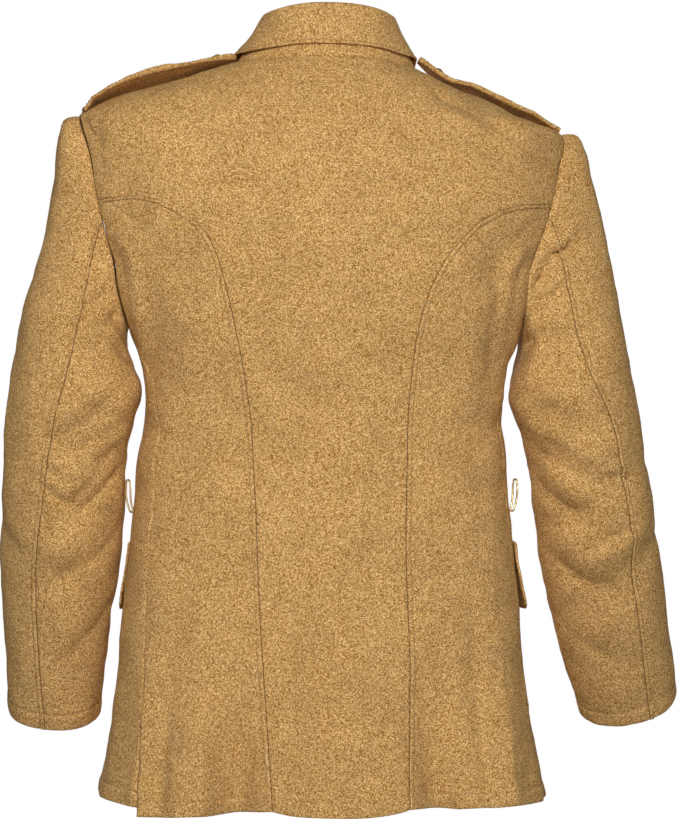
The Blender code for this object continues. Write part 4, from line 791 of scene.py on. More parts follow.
SMALL_CREASES = (
    Crease("pit", "left", 128, -0.082, 40, 0.0055, 0.030, -0.0034),
    Crease("pit_ridge", "left", 122, -0.068, 36, 0.0070, 0.026, 0.0018),
    Crease("pit_low", "left", 140, -0.050, 30, 0.0060, 0.030, -0.0022),
    Crease("upper_one", "left", 128, 0.018, 34, 0.0070, 0.022, -0.0010),
    Crease("elbow_one", "left", 82, 0.100, 20, 0.0045, 0.040, -0.0022),
    Crease("elbow_under", "left", 84, 0.109, 18, 0.0055, 0.040, 0.0012),
    Crease("elbow_two", "left", 116, 0.046, 34, 0.0090, -0.032, -0.0016),
    Crease("elbow_three", "left", 126, 0.104, 36, 0.0085, -0.047, -0.0022),
    Crease("elbow_bank", "left", 118, 0.080, 34, 0.0110, -0.040, 0.0016),
    Crease("elbow_four", "left", 132, 0.158, 32, 0.0090, -0.040, -0.0016),
    Crease("forearm_one", "left", 112, 0.200, 34, 0.0110, 0.036, 0.0012),
    Crease("forearm_two", "left", 128, 0.245, 34, 0.0100, -0.040, -0.0014),
    Crease("outer_one", "left", 30, 0.070, 40, 0.0120, -0.020, -0.0010),
    Crease("outer_two", "left", 20, 0.150, 40, 0.0130, 0.020, -0.0010),
    Crease("front_one", "left", 250, 0.112, 50, 0.0090, 0.020, -0.0024),
    Crease("front_two", "left", 262, 0.136, 46, 0.0085, -0.018, -0.0020),
    Crease("front_three", "left", 240, 0.088, 44, 0.0090, 0.022, 0.0015),
    Crease("front_four", "left", 255, 0.020, 46, 0.0110, 0.026, -0.0016),
    Crease("pit", "right", 126, -0.137, 44, 0.0045, 0.022, -0.0036),
    Crease("pit_ridge", "right", 128, -0.127, 40, 0.0050, 0.022, 0.0020),
    Crease("pit_low", "right", 140, -0.104, 30, 0.0060, 0.030, -0.0026),
    Crease("pit_fold", "right", 132, -0.070, 34, 0.0080, 0.034, -0.0018),
    Crease("upper_one", "right", 130, 0.012, 34, 0.0080, 0.022, -0.0012),
    Crease("elbow_one", "right", 84, 0.146, 30, 0.0060, 0.024, -0.0018),
    Crease("elbow_under", "right", 84, 0.157, 28, 0.0070, 0.024, 0.0012),
    Crease("elbow_two", "right", 118, 0.060, 36, 0.0090, -0.036, -0.0016),
    Crease("elbow_three", "right", 126, 0.112, 36, 0.0090, -0.044, -0.0020),
    Crease("elbow_bank", "right", 118, 0.090, 34, 0.0110, -0.040, 0.0015),
    Crease("elbow_four", "right", 130, 0.176, 32, 0.0090, -0.036, -0.0014),
    Crease("forearm_one", "right", 96, 0.240, 36, 0.0110, 0.034, 0.0011),
    Crease("forearm_two", "right", 120, 0.262, 34, 0.0110, -0.038, -0.0014),
    Crease("outer_one", "right", 32, 0.080, 40, 0.0120, -0.020, -0.0010),
    Crease("outer_two", "right", 18, 0.165, 40, 0.0130, 0.020, -0.0010),
    Crease("front_one", "right", 250, 0.116, 50, 0.0090, 0.020, -0.0024),
    Crease("front_two", "right", 260, 0.138, 46, 0.0085, -0.018, -0.0020),
    Crease("front_three", "right", 238, 0.092, 44, 0.0090, 0.022, 0.0015),
    Crease("front_four", "right", 255, 0.024, 46, 0.0110, 0.026, -0.0016),
)
SMALL_CREASES = tuple(crease._replace(depth=crease.depth * SMALL_DEPTH) for crease in SMALL_CREASES)
Pressed = namedtuple("Pressed", "name side x0 z0 x1 z1 x2 z2 width depth")
PRESSED = (
    Pressed("pit", "left", 0.2382, -0.1691, 0.2152, -0.1972, 0.2031, -0.2092, 0.005, 0.0075),
    Pressed("below_pit", "left", 0.2302, -0.2753, 0.2131, -0.2613, 0.1981, -0.2413, 0.007, 0.0045),
    Pressed("upper", "left", 0.2562, -0.2573, 0.2332, -0.2473, 0.2142, -0.2333, 0.006, 0.0045),
    Pressed("above_elbow", "left", 0.2863, -0.3876, 0.2432, -0.3695, 0.2081, -0.3355, 0.012, 0.005),
    Pressed("elbow", "left", 0.2843, -0.4096, 0.2683, -0.4196, 0.2482, -0.4276, 0.004, 0.0034),
    Pressed("elbow_inner", "left", 0.2622, -0.4517, 0.2332, -0.4236, 0.2081, -0.3876, 0.01, 0.0058),
    Pressed("forearm", "left", 0.2903, -0.5359, 0.2582, -0.5138, 0.2282, -0.4798, 0.011, 0.0036),
    Pressed("crossing", "right", -0.1967, -0.2062, -0.2347, -0.1932, -0.2608, -0.1782, 0.0045, 0.0058),
    Pressed("pit", "right", -0.1907, -0.2413, -0.2057, -0.2283, -0.2187, -0.2112, 0.007, 0.0085),
    Pressed("pouch", "right", -0.2007, -0.2443, -0.2247, -0.2403, -0.2408, -0.2252, 0.005, 0.005),
    Pressed("upper", "right", -0.1846, -0.2954, -0.2127, -0.2824, -0.2408, -0.2794, 0.008, 0.0036),
    Pressed("above_elbow", "right", -0.1927, -0.3415, -0.2327, -0.3615, -0.2748, -0.3695, 0.012, 0.005),
    Pressed("elbow", "right", -0.2688, -0.4307, -0.2858, -0.4226, -0.3069, -0.4216, 0.004, 0.0034),
    Pressed("elbow_inner", "right", -0.1987, -0.3816, -0.2327, -0.4086, -0.2748, -0.4297, 0.01, 0.0058),
    Pressed("forearm", "right", -0.2247, -0.4998, -0.2578, -0.5268, -0.2949, -0.5339, 0.011, 0.0036),
)
PRESSED_BANK = 0.45       # how high the cloth stands beside a pressed crease, against its depth
PRESSED_DEPTH = 1.4       # how many times deeper they are than their table says
PRESSED_SPOTS = 13        # spots of a crease's line that the cloth is measured from
PRESSED_END = 0.008       # how far a crease runs on past its line
PRESSED_FRONT = 0.75      # how deep the like creases on the hidden front are
BACK_SEAM_STEP = 5        # armhole row of the solids at the sleeve's back seam
FRONT_SEAM_STEP = 3
CAP_CROWDING = 1.5
HEAD_FADE = 3.0           # how fast the sleeve head's swell dies away round the armhole
SEAM_START = {"left": 1.60, "right": 1.72}    # way round the armhole to that seam in the cloth


def sleeve_ring(side, down):
    """Rings of a sleeve, down metres along its middle line from the upper arm."""
    table = np.array([row[1:] for row in SLEEVE_RINGS[side]])
    knots = lengths_along(table[:, :3])
    ahead = (smooth_curve(knots, table, down + 0.004)[..., :3]
             - smooth_curve(knots, table, down - 0.004)[..., :3])
    return smooth_curve(knots, table, down), unit(ahead), knots[-1]


def crease_height(side, turn, down, small):
    """How far the creases lift a sleeve, with the small pinched ones or without them."""
    lift = np.zeros(np.broadcast(turn, down).shape)
    soft = [(crease, SOFT) for crease in CREASES]
    pinched = [(crease, PINCH) for crease in SMALL_CREASES if small]
    for crease, sharp in soft + pinched:
        if crease.side != side:
            continue
        apart = (turn - math.radians(crease.turn) + math.pi) % (2 * math.pi) - math.pi
        reach = apart / math.radians(crease.round)
        across = (down - crease.down - crease.slant * apart) / crease.width
        lift = lift + crease.depth * np.exp(-reach * reach - np.abs(across) ** sharp)
    return lift


def sleeve_tube(side, turn, down):
    """Spots of the sleeve below the upper arm; turn is 0 at the outer side, 90 at the back."""
    row, along, _ = sleeve_ring(side, down)
    outward = 1.0 if side == "left" else -1.0
    out = np.array([outward, 0, 0])
    out = unit(out - along * dot(along, out)[..., None])
    back = np.cross(along, out) * -outward
    return (row[..., :3] + out * (row[..., 3] * np.cos(turn))[..., None]
            + back * (row[..., 4] * np.sin(turn))[..., None])


def sleeve_ways(side, part):
    """Way round the armhole of each row of the solids, from the back seam to the front seam."""
    back = np.concatenate([np.linspace(0, JOIN_ANGLE[side], LOW_ARMHOLE_ROWS + 1),
                           np.linspace(JOIN_ANGLE[side], math.pi, HIGH_ARMHOLE_ROWS + 1)[1:]])
    front = np.linspace(0, math.pi, ARMHOLE_ROWS + 1)
    back[1:BACK_SEAM_STEP + 1] *= SEAM_START[side] / back[BACK_SEAM_STEP]
    if part == "top":
        return np.concatenate([back[BACK_SEAM_STEP:],
                               2 * math.pi - front[-2:FRONT_SEAM_STEP - 1:-1]])
    return np.concatenate([back[BACK_SEAM_STEP:0:-1], -front[:FRONT_SEAM_STEP + 1]])


def column_turn(side, part, share, down):
    row, _, _ = sleeve_ring(side, down)
    back, front = np.radians(row[..., 5]), math.radians(FRONT_SEAM_TURN)
    end = front - 2 * math.pi if part == "top" else front
    return back + (end - back) * share


def sleeve_arm(side, part, share, down, small):
    turn = column_turn(side, part, share, down)
    plain = sleeve_tube(side, turn, down)
    row, _, _ = sleeve_ring(side, down)
    away = unit(plain - row[..., :3])
    return plain + away * crease_height(side, turn, down, small)[..., None]


def sleeve_cap(side, part, share, t, small):
    """Spots of the sleeve above the upper arm; t runs from 0 at the armhole to 1."""
    ways = sleeve_ways(side, part)
    way = np.interp(share * (len(ways) - 1), np.arange(len(ways)), ways)
    swing = np.where(way < 0, -way, np.where(way > math.pi, 2 * math.pi - way, way))
    spots = armhole_at(side, way)
    start = body(spots[..., 0], spots[..., 1])
    zero = np.zeros_like(t)
    turn = column_turn(side, part, share, zero)
    end = sleeve_arm(side, part, share, zero, small)
    below = sleeve_arm(side, part, share, zero + 0.004, False)
    length = np.linalg.norm(end - start, axis=-1)
    arrive = unit(below - end) * length[..., None]
    u = t[..., None]
    spot = ((u**3 - 2 * u**2 + u) * (end - start) + (2 * u**3 - 3 * u**2 + 1) * start
            + (-2 * u**3 + 3 * u**2) * end + (u**3 - u**2) * arrive)
    topness = (1 - np.cos(swing)) / 2
    head = SLEEVE_HEAD[side]
    rise = smooth_curve([row.share for row in head], [(row.out, row.up) for row in head], t)
    ease = UNDERARM_EASE * np.sin(math.pi * t ** 0.6) * (1 - topness) ** 2
    outward = 1.0 if side == "left" else -1.0
    spot[..., 0] += outward * (rise[..., 0] * topness ** HEAD_FADE + ease)
    spot[..., 2] += rise[..., 1] * topness**2
    lift = (crease_height(side, turn, (t - 1) * length, small)
            - crease_height(side, turn, zero, small))
    row, _, _ = sleeve_ring(side, zero)
    middle = row[..., :3] + (start - end) * (1 - u)
    return spot + unit(spot - middle) * (lift * smooth_step(0.0, 0.5, t))[..., None]


def pressed_height(side, points, facing):
    """Lift of the creases drawn across a sleeve, given as lines of x and z on its back."""
    lift = np.zeros(points.shape[:-1])
    flat = points[..., (0, 2)]
    seen = np.where(facing[..., 1] > 0, 1.0, PRESSED_FRONT) * smooth_step(0.05, 0.55,
                                                                         np.abs(facing[..., 1]))
    for crease in PRESSED:
        if crease.side != side:
            continue
        spots = np.array([(crease.x0, crease.z0), (crease.x1, crease.z1), (crease.x2, crease.z2)])
        line = smooth_curve(np.arange(3.0), spots, np.linspace(0, 2, PRESSED_SPOTS))
        apart = flat[..., None, :] - line
        near = np.argmin(np.sum(apart**2, axis=-1), axis=-1)
        runs = unit(np.gradient(line, axis=0))[near]
        gap = np.take_along_axis(apart, near[..., None, None], axis=-2)[..., 0, :]
        off = gap[..., 1] * np.abs(runs[..., 0]) - gap[..., 0] * runs[..., 1] * np.sign(runs[..., 0])
        beyond = np.abs(dot(gap, runs))
        share = near / (PRESSED_SPOTS - 1.0)
        taper = np.sin(math.pi * np.clip(share * 0.86 + 0.07, 0, 1)) ** 0.8
        taper = taper * np.exp(-(beyond / PRESSED_END) ** 2)
        valley = np.exp(-np.abs(off / crease.width) ** PINCH)
        bank = np.exp(-((off - 1.9 * crease.width) / (1.3 * crease.width)) ** 2)
        lift = lift + PRESSED_DEPTH * crease.depth * taper * (PRESSED_BANK * bank - valley)
    return lift * seen


print(len(CREASES), "large creases,", len(SMALL_CREASES), "small ones,", len(PRESSED), "pressed ones")

# %% The sleeve pieces
CAP_LINES = 34            # rows of a sleeve above the upper arm
SLEEVE_STEP = 0.0042


def make_sleeve(side, part):
    _, _, length = sleeve_ring(side, np.zeros(1))
    cap = np.linspace(0, 1, CAP_LINES + 1)[:-1] ** CAP_CROWDING
    arm = edge_stations(length, Edge(0, 0, 0, 0), CUFF_EDGE, SLEEVE_STEP)
    arm = arm[(arm == 0) | (arm > 0.003)]
    trial = np.linspace(0, 1, TRIAL_SPOTS)[None, :]
    rough = sleeve_arm(side, part, trial, np.full((1, TRIAL_SPOTS), length * 0.3), False)
    width = float(lengths_along(rough[0])[-1])
    first = WELT_SEAM if part == "top" else PLAIN_SEAM
    stations = edge_stations(width, first, PLAIN_SEAM, SLEEVE_STEP)
    shares = (stations / stations[-1])[None, :]
    cap_share, cap_t = np.broadcast_arrays(shares, cap[:, None])
    arm_share, arm_down = np.broadcast_arrays(shares, arm[:, None])
    points = np.concatenate([sleeve_cap(side, part, cap_share, cap_t.copy(), True),
                             sleeve_arm(side, part, arm_share, arm_down.copy(), True)])
    arm_middle = sleeve_ring(side, arm)[0][:, None, :3]
    arm_way = unit(points[len(cap):] - arm_middle)
    way_out = np.concatenate([np.repeat(arm_way[:1], len(cap), axis=0), arm_way])
    fade = np.concatenate([smooth_step(0.0, 0.15, cap), np.ones(len(arm))])[:, None]
    pressed = pressed_height(side, points, way_out) * fade
    points = points + way_out * pressed[..., None]
    print(side, part, "creases", round(float(pressed.min()), 4), "to", round(float(pressed.max()), 4), "m")
    cap_middle = np.broadcast_to(arm_middle[:1] + np.array([0, 0, 0.08]), (len(cap), 1, 3))
    normals = grid_normals(points, points - np.concatenate([cap_middle, arm_middle]))
    points = close_seams(points, normals)
    ways = sleeve_ways(side, part)
    way = np.interp(shares[0] * (len(ways) - 1), np.arange(len(ways)), ways)
    spots, ahead, behind = (armhole_at(side, way + off) for off in (0.0, 0.02, -0.02))
    body_out = body_normal(spots[:, 0], spots[:, 1])
    start = body(spots[:, 0], spots[:, 1])
    past_edge = unit(np.cross(body_out, body(*ahead.T) - body(*behind.T)))
    past_edge *= np.sign(dot(past_edge, ARMHOLE_MIDDLE[side] - start))[:, None]
    own = normals[0]
    lean = np.maximum(dot(own, past_edge), 0.0)
    normals[0] = unit(own - past_edge * lean[:, None])
    cloth_wall(f"{part}_sleeve_cloth_{side}", points, normals,
               (PLAIN_SEAM, CUFF_EDGE, first, PLAIN_SEAM))


for side in SIDES:
    make_sleeve(side, "top")
    make_sleeve(side, "under")
print({name: cloth["outer"].shape[:2] for name, cloth in CLOTHS.items() if "sleeve" in name})

# %% [markdown]
# ## The collar
#
# The stand is a low upright band. The fall is cut in one with points at the front: it turns over
# the stand's top edge and comes down outside it to the shoulder. A closed section swept round the
# neck gives the fall its two faces and the soft roll at the top, where two layers make it thick.

# %% The stand and the fall
COLLAR_TOP = {"half_left": 0.0612, "half_right": 0.0685, "back": 0.0500, "front": 0.0640,
              "z_side": 0.0440, "z_back": 0.0520, "z_front": -0.0420, "square": 2.30}
COLLAR_END = 178.8        # degrees from the middle of the back to each end
COLLAR_STEPS = 150
FALL_BACK = 0.0425
FALL_SIDE = 0.0475
FALL_POINT = 0.073
FALL_SPREAD = 0.110
FALL_CLOTH = 0.0023
FALL_STAND = 0.0036
FALL_CHEST = 0.0050
FALL_ROWS = 26
FALL_EDGE = Edge(HEM_ROLL * 0.8, HEM_ROLL * 0.8, FALL_STITCH, 0.0002)
STAND_ROOT = 0.0015       # how far the stand runs down into its seam
RollSpot = namedtuple("RollSpot", "out up")
FALL_ROLL = (RollSpot(0.0016, 0.0031), RollSpot(-0.0020, 0.0033), RollSpot(-0.0047, 0.0010),
             RollSpot(-0.0052, -0.0050), RollSpot(-0.0031, -0.0050), RollSpot(-0.0029, 0.0006),
             RollSpot(0.0006, 0.0007))


def collar_fold(angle):
    """Top line of the collar, over the same angle round the neck."""
    top = COLLAR_TOP
    c, s = np.cos(angle), np.sin(angle)
    half = np.where(c > 0, top["half_left"], top["half_right"])
    depth = np.where(s > 0, top["back"], top["front"])
    z_end = np.where(s > 0, top["z_back"], top["z_front"])
    power = 2.0 / top["square"]
    return np.stack([np.copysign(half * np.abs(c) ** power, c),
                     np.copysign(depth * np.abs(s) ** power, s),
                     top["z_side"] * c * c + z_end * s * s], axis=-1)


def collar_frame(angle):
    """Foot of the stand, its top, the way up and the way out."""
    foot = body(angle, np.full_like(angle, LEVELS[-1])) + np.array([0, 0, 0.0005])
    top = collar_fold(angle)
    up = unit(top - foot)
    out = unit(np.cross(collar_fold(angle + 0.01) - collar_fold(angle - 0.01), up))
    return foot, top, up, out


def fall_length(angle):
    from_back = np.abs(np.degrees(angle) - 90)
    side_share = smooth_step(20, 85, from_back)
    point_share = np.clip((from_back - 118) / 60, 0.0, 1.0) ** 2.0
    return FALL_BACK + (FALL_SIDE - FALL_BACK) * side_share + (FALL_POINT - FALL_SIDE) * point_share


def fall_line(angle):
    """Outer line of the fall from the fold down, over the stand and onto the chest."""
    middle = math.pi / 2
    guide = []
    for share in (0.0, 0.5, 1.0):
        turned = np.array([middle + (angle - middle) * (1 - FALL_SPREAD * share / 2)])
        foot, top, _, out = collar_frame(turned)
        guide.append((top + (foot - top) * share + out * (FALL_STAND + 0.0006 * share))[0])
    for reach in (0.026, 0.052):
        turned = middle + (angle - middle) * (1 - FALL_SPREAD * (0.5 + reach / 0.052 * 0.5))
        level = LEVELS[-1] - reach
        guide.append(body(turned, level) + body_normal(turned, level) * FALL_CHEST)
    guide = np.array(guide)
    guide[2] = guide[2] * 0.6 + (guide[1] + guide[3]) * 0.2
    return smooth_curve(lengths_along(guide), guide,
                        np.linspace(0, 1, FALL_ROWS + 1) * float(fall_length(angle)))


def sweep_faces(rings, count):
    """Quads round a row of closed sections, and a flat cap on each end."""
    index = np.arange(rings * count).reshape(rings, count)
    a, b = index[:-1], np.roll(index[:-1], -1, axis=1)
    c, d = np.roll(index[1:], -1, axis=1), index[1:]
    faces = np.stack([a, b, c, d], axis=-1).reshape(-1, 4).tolist()
    return faces + [index[0].tolist()[::-1], index[-1].tolist()]


collar_angles = math.pi / 2 + np.radians(np.linspace(-COLLAR_END, COLLAR_END, COLLAR_STEPS + 1))
foot, top, up, out = collar_frame(collar_angles)
stand_shares = np.linspace(0, 1, 12)[:, None, None]
stand_foot = foot - up * STAND_ROOT
stand_points = stand_foot[None] + (top - stand_foot)[None] * stand_shares
cloth_wall("collar_stand_cloth", stand_points, np.broadcast_to(out, stand_points.shape).copy(),
           (PLAIN_SEAM, TURNED, TURNED, TURNED))

fall_outer = np.array([fall_line(float(angle)) for angle in collar_angles])
runs = np.gradient(fall_outer, axis=1)
around = collar_fold(collar_angles + 0.01) - collar_fold(collar_angles - 0.01)
fall_outs = unit(np.cross(runs, around[:, None, :]))
fall_edges = (TURNED, TURNED, Edge(0, 0, 0, 0), FALL_EDGE)
fall_roll, _, fall_lift = edge_forms(fall_outer, fall_edges)
fall_inner = fall_outer - fall_outs * (FALL_CLOTH - fall_roll)[..., None]
fall_face = fall_outer + fall_outs * (fall_lift - fall_roll + unevenness(fall_outer))[..., None]
roll_line = np.array([(spot.out, spot.up) for spot in FALL_ROLL])
roll_fine = smooth_curve(np.arange(len(roll_line)), roll_line, np.linspace(0, len(roll_line) - 1, 22))
fall_turn = (top[:, None] + out[:, None] * roll_fine[None, :, :1] + up[:, None] * roll_fine[None, :, 1:])
sections = np.concatenate([fall_face[:, ::-1], fall_turn, fall_inner[:, 1:]], axis=1)
collar_fall = link_mesh("collar_fall_cloth", sections.reshape(-1, 3),
                        sweep_faces(*sections.shape[:2]))
CLOTHS["collar_fall_cloth"] = {"piece": collar_fall, "outer": fall_face, "normals": fall_outs,
                               "flipped": False, "with": []}
print("collar fall", round(float(lengths_along(fall_face[:, -1])[-1]), 3), "m round its edge")

# %% [markdown]
# ## Shoulder straps and pocket flaps
#
# A strap is two layers of cloth pressed flat, sewn in at the sleeve and buttoned by the collar.
# It stands a little off the shoulder and hangs towards the front. The hip flaps lie on the fronts
# and show past the sides, so they are made from the fronts' own points, moved out.

# %% The shoulder straps
STRAP_CLOTH = 0.0042
STRAP_BEAD = 0.0011       # how much fuller its turned edges are, above and below
STRAP_BEAD_WIDTH = 0.0034
STRAP_SEAT = 0.0003
DROOP_POWER = 1.3
STRAP_CROWDING = 0.72     # draws the spots of a section towards its edges
STRAP_CROWN = 0.10
STRAP_EDGE = 14           # power of the round edge of a section
StrapSpot = namedtuple("StrapSpot", "x z width droop")
STRAPS = {
    "left": (StrapSpot(0.2452, -0.0518, 0.056, 0.002), StrapSpot(0.2375, -0.0385, 0.056, 0.004),
             StrapSpot(0.2200, -0.0272, 0.055, 0.008), StrapSpot(0.2000, -0.0176, 0.053, 0.011),
             StrapSpot(0.1750, -0.0100, 0.050, 0.013), StrapSpot(0.1500, -0.0038, 0.047, 0.012),
             StrapSpot(0.1240, 0.0016, 0.044, 0.008), StrapSpot(0.1060, 0.0046, 0.040, 0.004),
             StrapSpot(0.0960, 0.0058, 0.030, 0.002), StrapSpot(0.0905, 0.0062, 0.016, 0.001)),
    "right": (StrapSpot(-0.2395, -0.0672, 0.056, 0.002), StrapSpot(-0.2265, -0.0588, 0.056, 0.004),
              StrapSpot(-0.2130, -0.0498, 0.055, 0.007), StrapSpot(-0.1935, -0.0422, 0.053, 0.007),
              StrapSpot(-0.1670, -0.0288, 0.050, 0.005), StrapSpot(-0.1490, -0.0206, 0.047, 0.002),
              StrapSpot(-0.1285, -0.0162, 0.044, 0.003), StrapSpot(-0.1150, -0.0080, 0.040, 0.001),
              StrapSpot(-0.1020, 0.0030, 0.030, 0.0), StrapSpot(-0.0980, 0.0058, 0.016, 0.0)),
}
STRAP_STATIONS = 90
STRAP_ACROSS = 30
STRAP_STITCH = 0.0060     # from the strap's edge to its row of stitching


def shoulder_height(x, y):
    """Height of the shoulder above spots of the ground plan."""
    low, high = np.full(np.shape(x), LEVEL_OF["blade"]), np.full(np.shape(x), LEVEL_OF["neck"])
    for _ in range(30):
        level = (low + high) / 2
        ring = ring_at(level)
        wide = (np.abs(x) / np.where(x > 0, ring.half_left, ring.half_right)) ** ring.square
        deep = (np.abs(y) / np.where(y > 0, ring.back, ring.front)) ** ring.square
        inside = wide + deep < 1
        low, high = np.where(inside, level, low), np.where(inside, high, level)
    z_side = np.where(x > 0, ring.z_left, ring.z_right)
    return z_side * wide + np.where(y > 0, ring.z_back, ring.z_front) * deep


def strap_frames(side, count):
    """Points of a strap's top, the way up, the width and the droop, at even steps."""
    rows = np.array([(spot.x, spot.z, spot.width, spot.droop) for spot in STRAPS[side]])
    knots = lengths_along(rows[:, :2])
    fine = np.stack([np.interp(np.linspace(0, knots[-1], count), knots, rows[:, k])
                     for k in range(4)], axis=-1)
    spots = np.stack([fine[:, 0], np.zeros(count), fine[:, 1]], axis=-1)
    runs = unit(np.gradient(spots, axis=0))
    ups = np.stack([-runs[:, 2], np.zeros(count), runs[:, 0]], axis=-1)
    return spots, ups * np.sign(ups[:, 2:]), fine[:, 2], fine[:, 3]


def strap_section():
    """Place across from the back edge, 1, to the front edge, -1, and share down from the top."""
    across = np.cos(np.linspace(0, math.pi, STRAP_ACROSS + 1))
    across = np.sign(across) * np.abs(across) ** STRAP_CROWDING
    edge = 0.5 * np.abs(across) ** STRAP_EDGE
    top_share = edge - STRAP_CROWN * (1 - across**2)
    under_share = 1.0 - edge
    return (np.concatenate([across, across[-2:0:-1]]),
            np.concatenate([top_share, under_share[-2:0:-1]]))


strap_unders = {}
for side in SIDES:
    spots, ups, widths, droops = strap_frames(side, STRAP_STATIONS)
    across, share = strap_section()
    droop = droops[:, None] * (0.5 - across / 2) ** DROOP_POWER
    points = spots[:, None, :] - ups[:, None, :] * (STRAP_CLOTH * share)[None, :, None]
    points[..., 1] += across * widths[:, None] / 2
    points[..., 2] -= droop
    floor = shoulder_height(points[..., 0], points[..., 1]) + STRAP_SEAT
    points[..., 2] = np.maximum(points[..., 2], floor + STRAP_CLOTH * 0.8 * (1 - share))
    edge = (1 - np.abs(across)) * widths[:, None] / 2
    on_top = (share < 0.45)[None, :]
    bead = STRAP_BEAD * np.exp(-((edge - STRAP_BEAD_WIDTH * 0.6) / STRAP_BEAD_WIDTH) ** 2)
    pressed = STITCH_DIP * np.exp(-((edge - STRAP_STITCH) / STITCH_WIDTH) ** 2)
    points[..., 2] += np.where(on_top, bead - pressed, pressed - 0.5 * bead)
    points += ups[:, None, :] * np.where(on_top, unevenness(points), 0.0)[..., None]
    strap = link_mesh("shoulder_strap_cloth_" + side, points.reshape(-1, 3),
                      sweep_faces(*points.shape[:2]))
    under = points[:, :STRAP_ACROSS - 1:-1]
    strap_unders[side] = (under, np.broadcast_to(-ups[:, None], under.shape))
    CLOTHS[strap.name] = {"piece": strap, "outer": points[:, :STRAP_ACROSS + 1],
                          "normals": np.broadcast_to(ups[:, None], (len(ups), STRAP_ACROSS + 1, 3)),
                          "flipped": False, "with": []}
print("straps", STRAP_STATIONS, "sections of", 2 * STRAP_ACROSS, "spots")

# %% The hip pocket flaps
FLAP_CLOTH = 0.0030
FLAP_TOP = -0.488
FLAP_HEIGHT = 0.070
FLAP_CORNER = 0.006
FLAP_GAP = 0.0007
FLAP_TURNS = {"left": (-4.0, -66.0), "right": (7.0, -58.0)}
FLAP_STAND = {"left": 0.0016, "right": 0.0055}
FLAP_WIDTH = 0.115
FLAP_SQUARE = 0.75        # share of its width where the lower edge is straight
flap_edge = Edge(HEM_ROLL, HEM_ROLL, FLAP_STITCH, 0.0)


def skirt_level(z):
    """Level of a height between the hem and the waist."""
    waist = [ring.name for ring in RINGS].index("waist") + 1
    return np.interp(z, [ring.z_back for ring in RINGS[:waist]], LEVELS[:waist])


for side in SIDES:
    across = edge_stations(FLAP_WIDTH, flap_edge, flap_edge)
    across = across / across[-1]
    down = edge_stations(FLAP_HEIGHT, flap_edge, PLAIN_SEAM)
    share = (1 - down / down[-1])[:, None]
    past = np.maximum(np.abs(2 * across - 1) - FLAP_SQUARE, 0) / (1 - FLAP_SQUARE)
    corner = FLAP_CORNER * past ** 2
    z = FLAP_TOP - (FLAP_HEIGHT - corner[None, :]) * share
    level = skirt_level(z)
    start, end = np.radians(FLAP_TURNS[side])
    angle = side_angle(side, np.broadcast_to(start + (end - start) * across, z.shape))
    away = body_normal(angle, level)
    lie = FLAP_CLOTH + FLAP_GAP + FLAP_STAND[side] * share ** 1.5
    lie = lie + fold_height(body(angle, level), SMALL_FOLDS, PINCH)
    cloth_wall("pocket_flap_cloth_" + side, body(angle, level) + away * lie[..., None], away,
               (flap_edge, PLAIN_SEAM, flap_edge, flap_edge), FLAP_CLOTH)
print("straps and flaps made,", len(CLOTHS), "cloth pieces so far")

# %% [markdown]
# ## Rows of stitching
#
# A row of lockstitch is a line of short threads, each one sunk at both ends. Real thread in the
# mesh reads as stitching from any side, where a painted line does not. Each row follows a column
# or a row of its cloth's own grid, so it lies in the dip that was pressed for it.
# Along the seams a thin dark tube is laid in as well; its colour is painted shade of the groove.

# %% Threads along a line
THREAD = 0.00034          # radius
STITCH_LENGTH = 0.0030
STITCH_PITCH = 0.0041
THREAD_SIDES = 5
StitchSpot = namedtuple("StitchSpot", "share rise thick")     # rise and thick go by the radius
STITCH_FORM = (StitchSpot(0.00, -0.50, 0.35), StitchSpot(0.25, 0.55, 0.90),
               StitchSpot(0.50, 0.80, 1.00), StitchSpot(0.75, 0.55, 0.90),
               StitchSpot(1.00, -0.50, 0.35))


def circle_of(first, second, sides):
    """Circles of spots with radius 1, in the planes of two sets of directions."""
    turns = np.arange(sides) * 2 * math.pi / sides
    return (first[..., None, :] * np.cos(turns)[:, None]
            + second[..., None, :] * np.sin(turns)[:, None])


def line_of(name, along_rows, distance, from_end=False):
    """A line of a cloth's outer grid at a distance from its first or last row or column."""
    cloth = CLOTHS[name]
    grid, normals = cloth["outer"], cloth["normals"]
    if not along_rows:
        grid, normals = grid.transpose(1, 0, 2), normals.transpose(1, 0, 2)
        from_end = from_end != cloth["flipped"]
    if from_end:
        grid, normals = grid[::-1], normals[::-1]
    reach = lengths_along(grid[:, grid.shape[1] // 2])
    k = int(np.argmin(np.abs(reach - distance)))
    return grid[k], normals[k]


def stitch_row(name, cloth_name, line, normals):
    """One mesh of short threads along a line that lies on the cloth."""
    reach = lengths_along(line)
    starts = np.arange(STITCH_PITCH, reach[-1] - STITCH_PITCH * 1.5, STITCH_PITCH)
    shares, rise, thick = np.array(STITCH_FORM).T
    at = starts[:, None] + shares * STITCH_LENGTH
    middle = np.stack([np.interp(at, reach, line[:, k]) for k in range(3)], axis=-1)
    up = unit(np.stack([np.interp(at, reach, normals[:, k]) for k in range(3)], axis=-1))
    run = unit(np.gradient(middle, axis=1))
    side_way = unit(np.cross(up, run))
    middle = middle + up * (rise * THREAD)[None, :, None]
    ring = circle_of(side_way, up, THREAD_SIDES)
    points = middle[:, :, None] + ring * (thick * THREAD)[None, :, None, None]
    one = THREAD_SIDES * len(shares)
    *faces, first_cap, last_cap = sweep_faces(len(shares), THREAD_SIDES)
    caps = (first_cap, last_cap)
    count = len(starts)
    quads = (np.array(faces) + (np.arange(count) * one)[:, None, None]).reshape(-1, 4).tolist()
    ends = [[v + k * one for v in cap] for k in range(count) for cap in caps]
    thing = link_mesh(name, points.reshape(-1, 3), quads + ends)
    CLOTHS[cloth_name]["with"].append(thing)
    return thing


STITCHES_AND_SEAM_SHADE = []


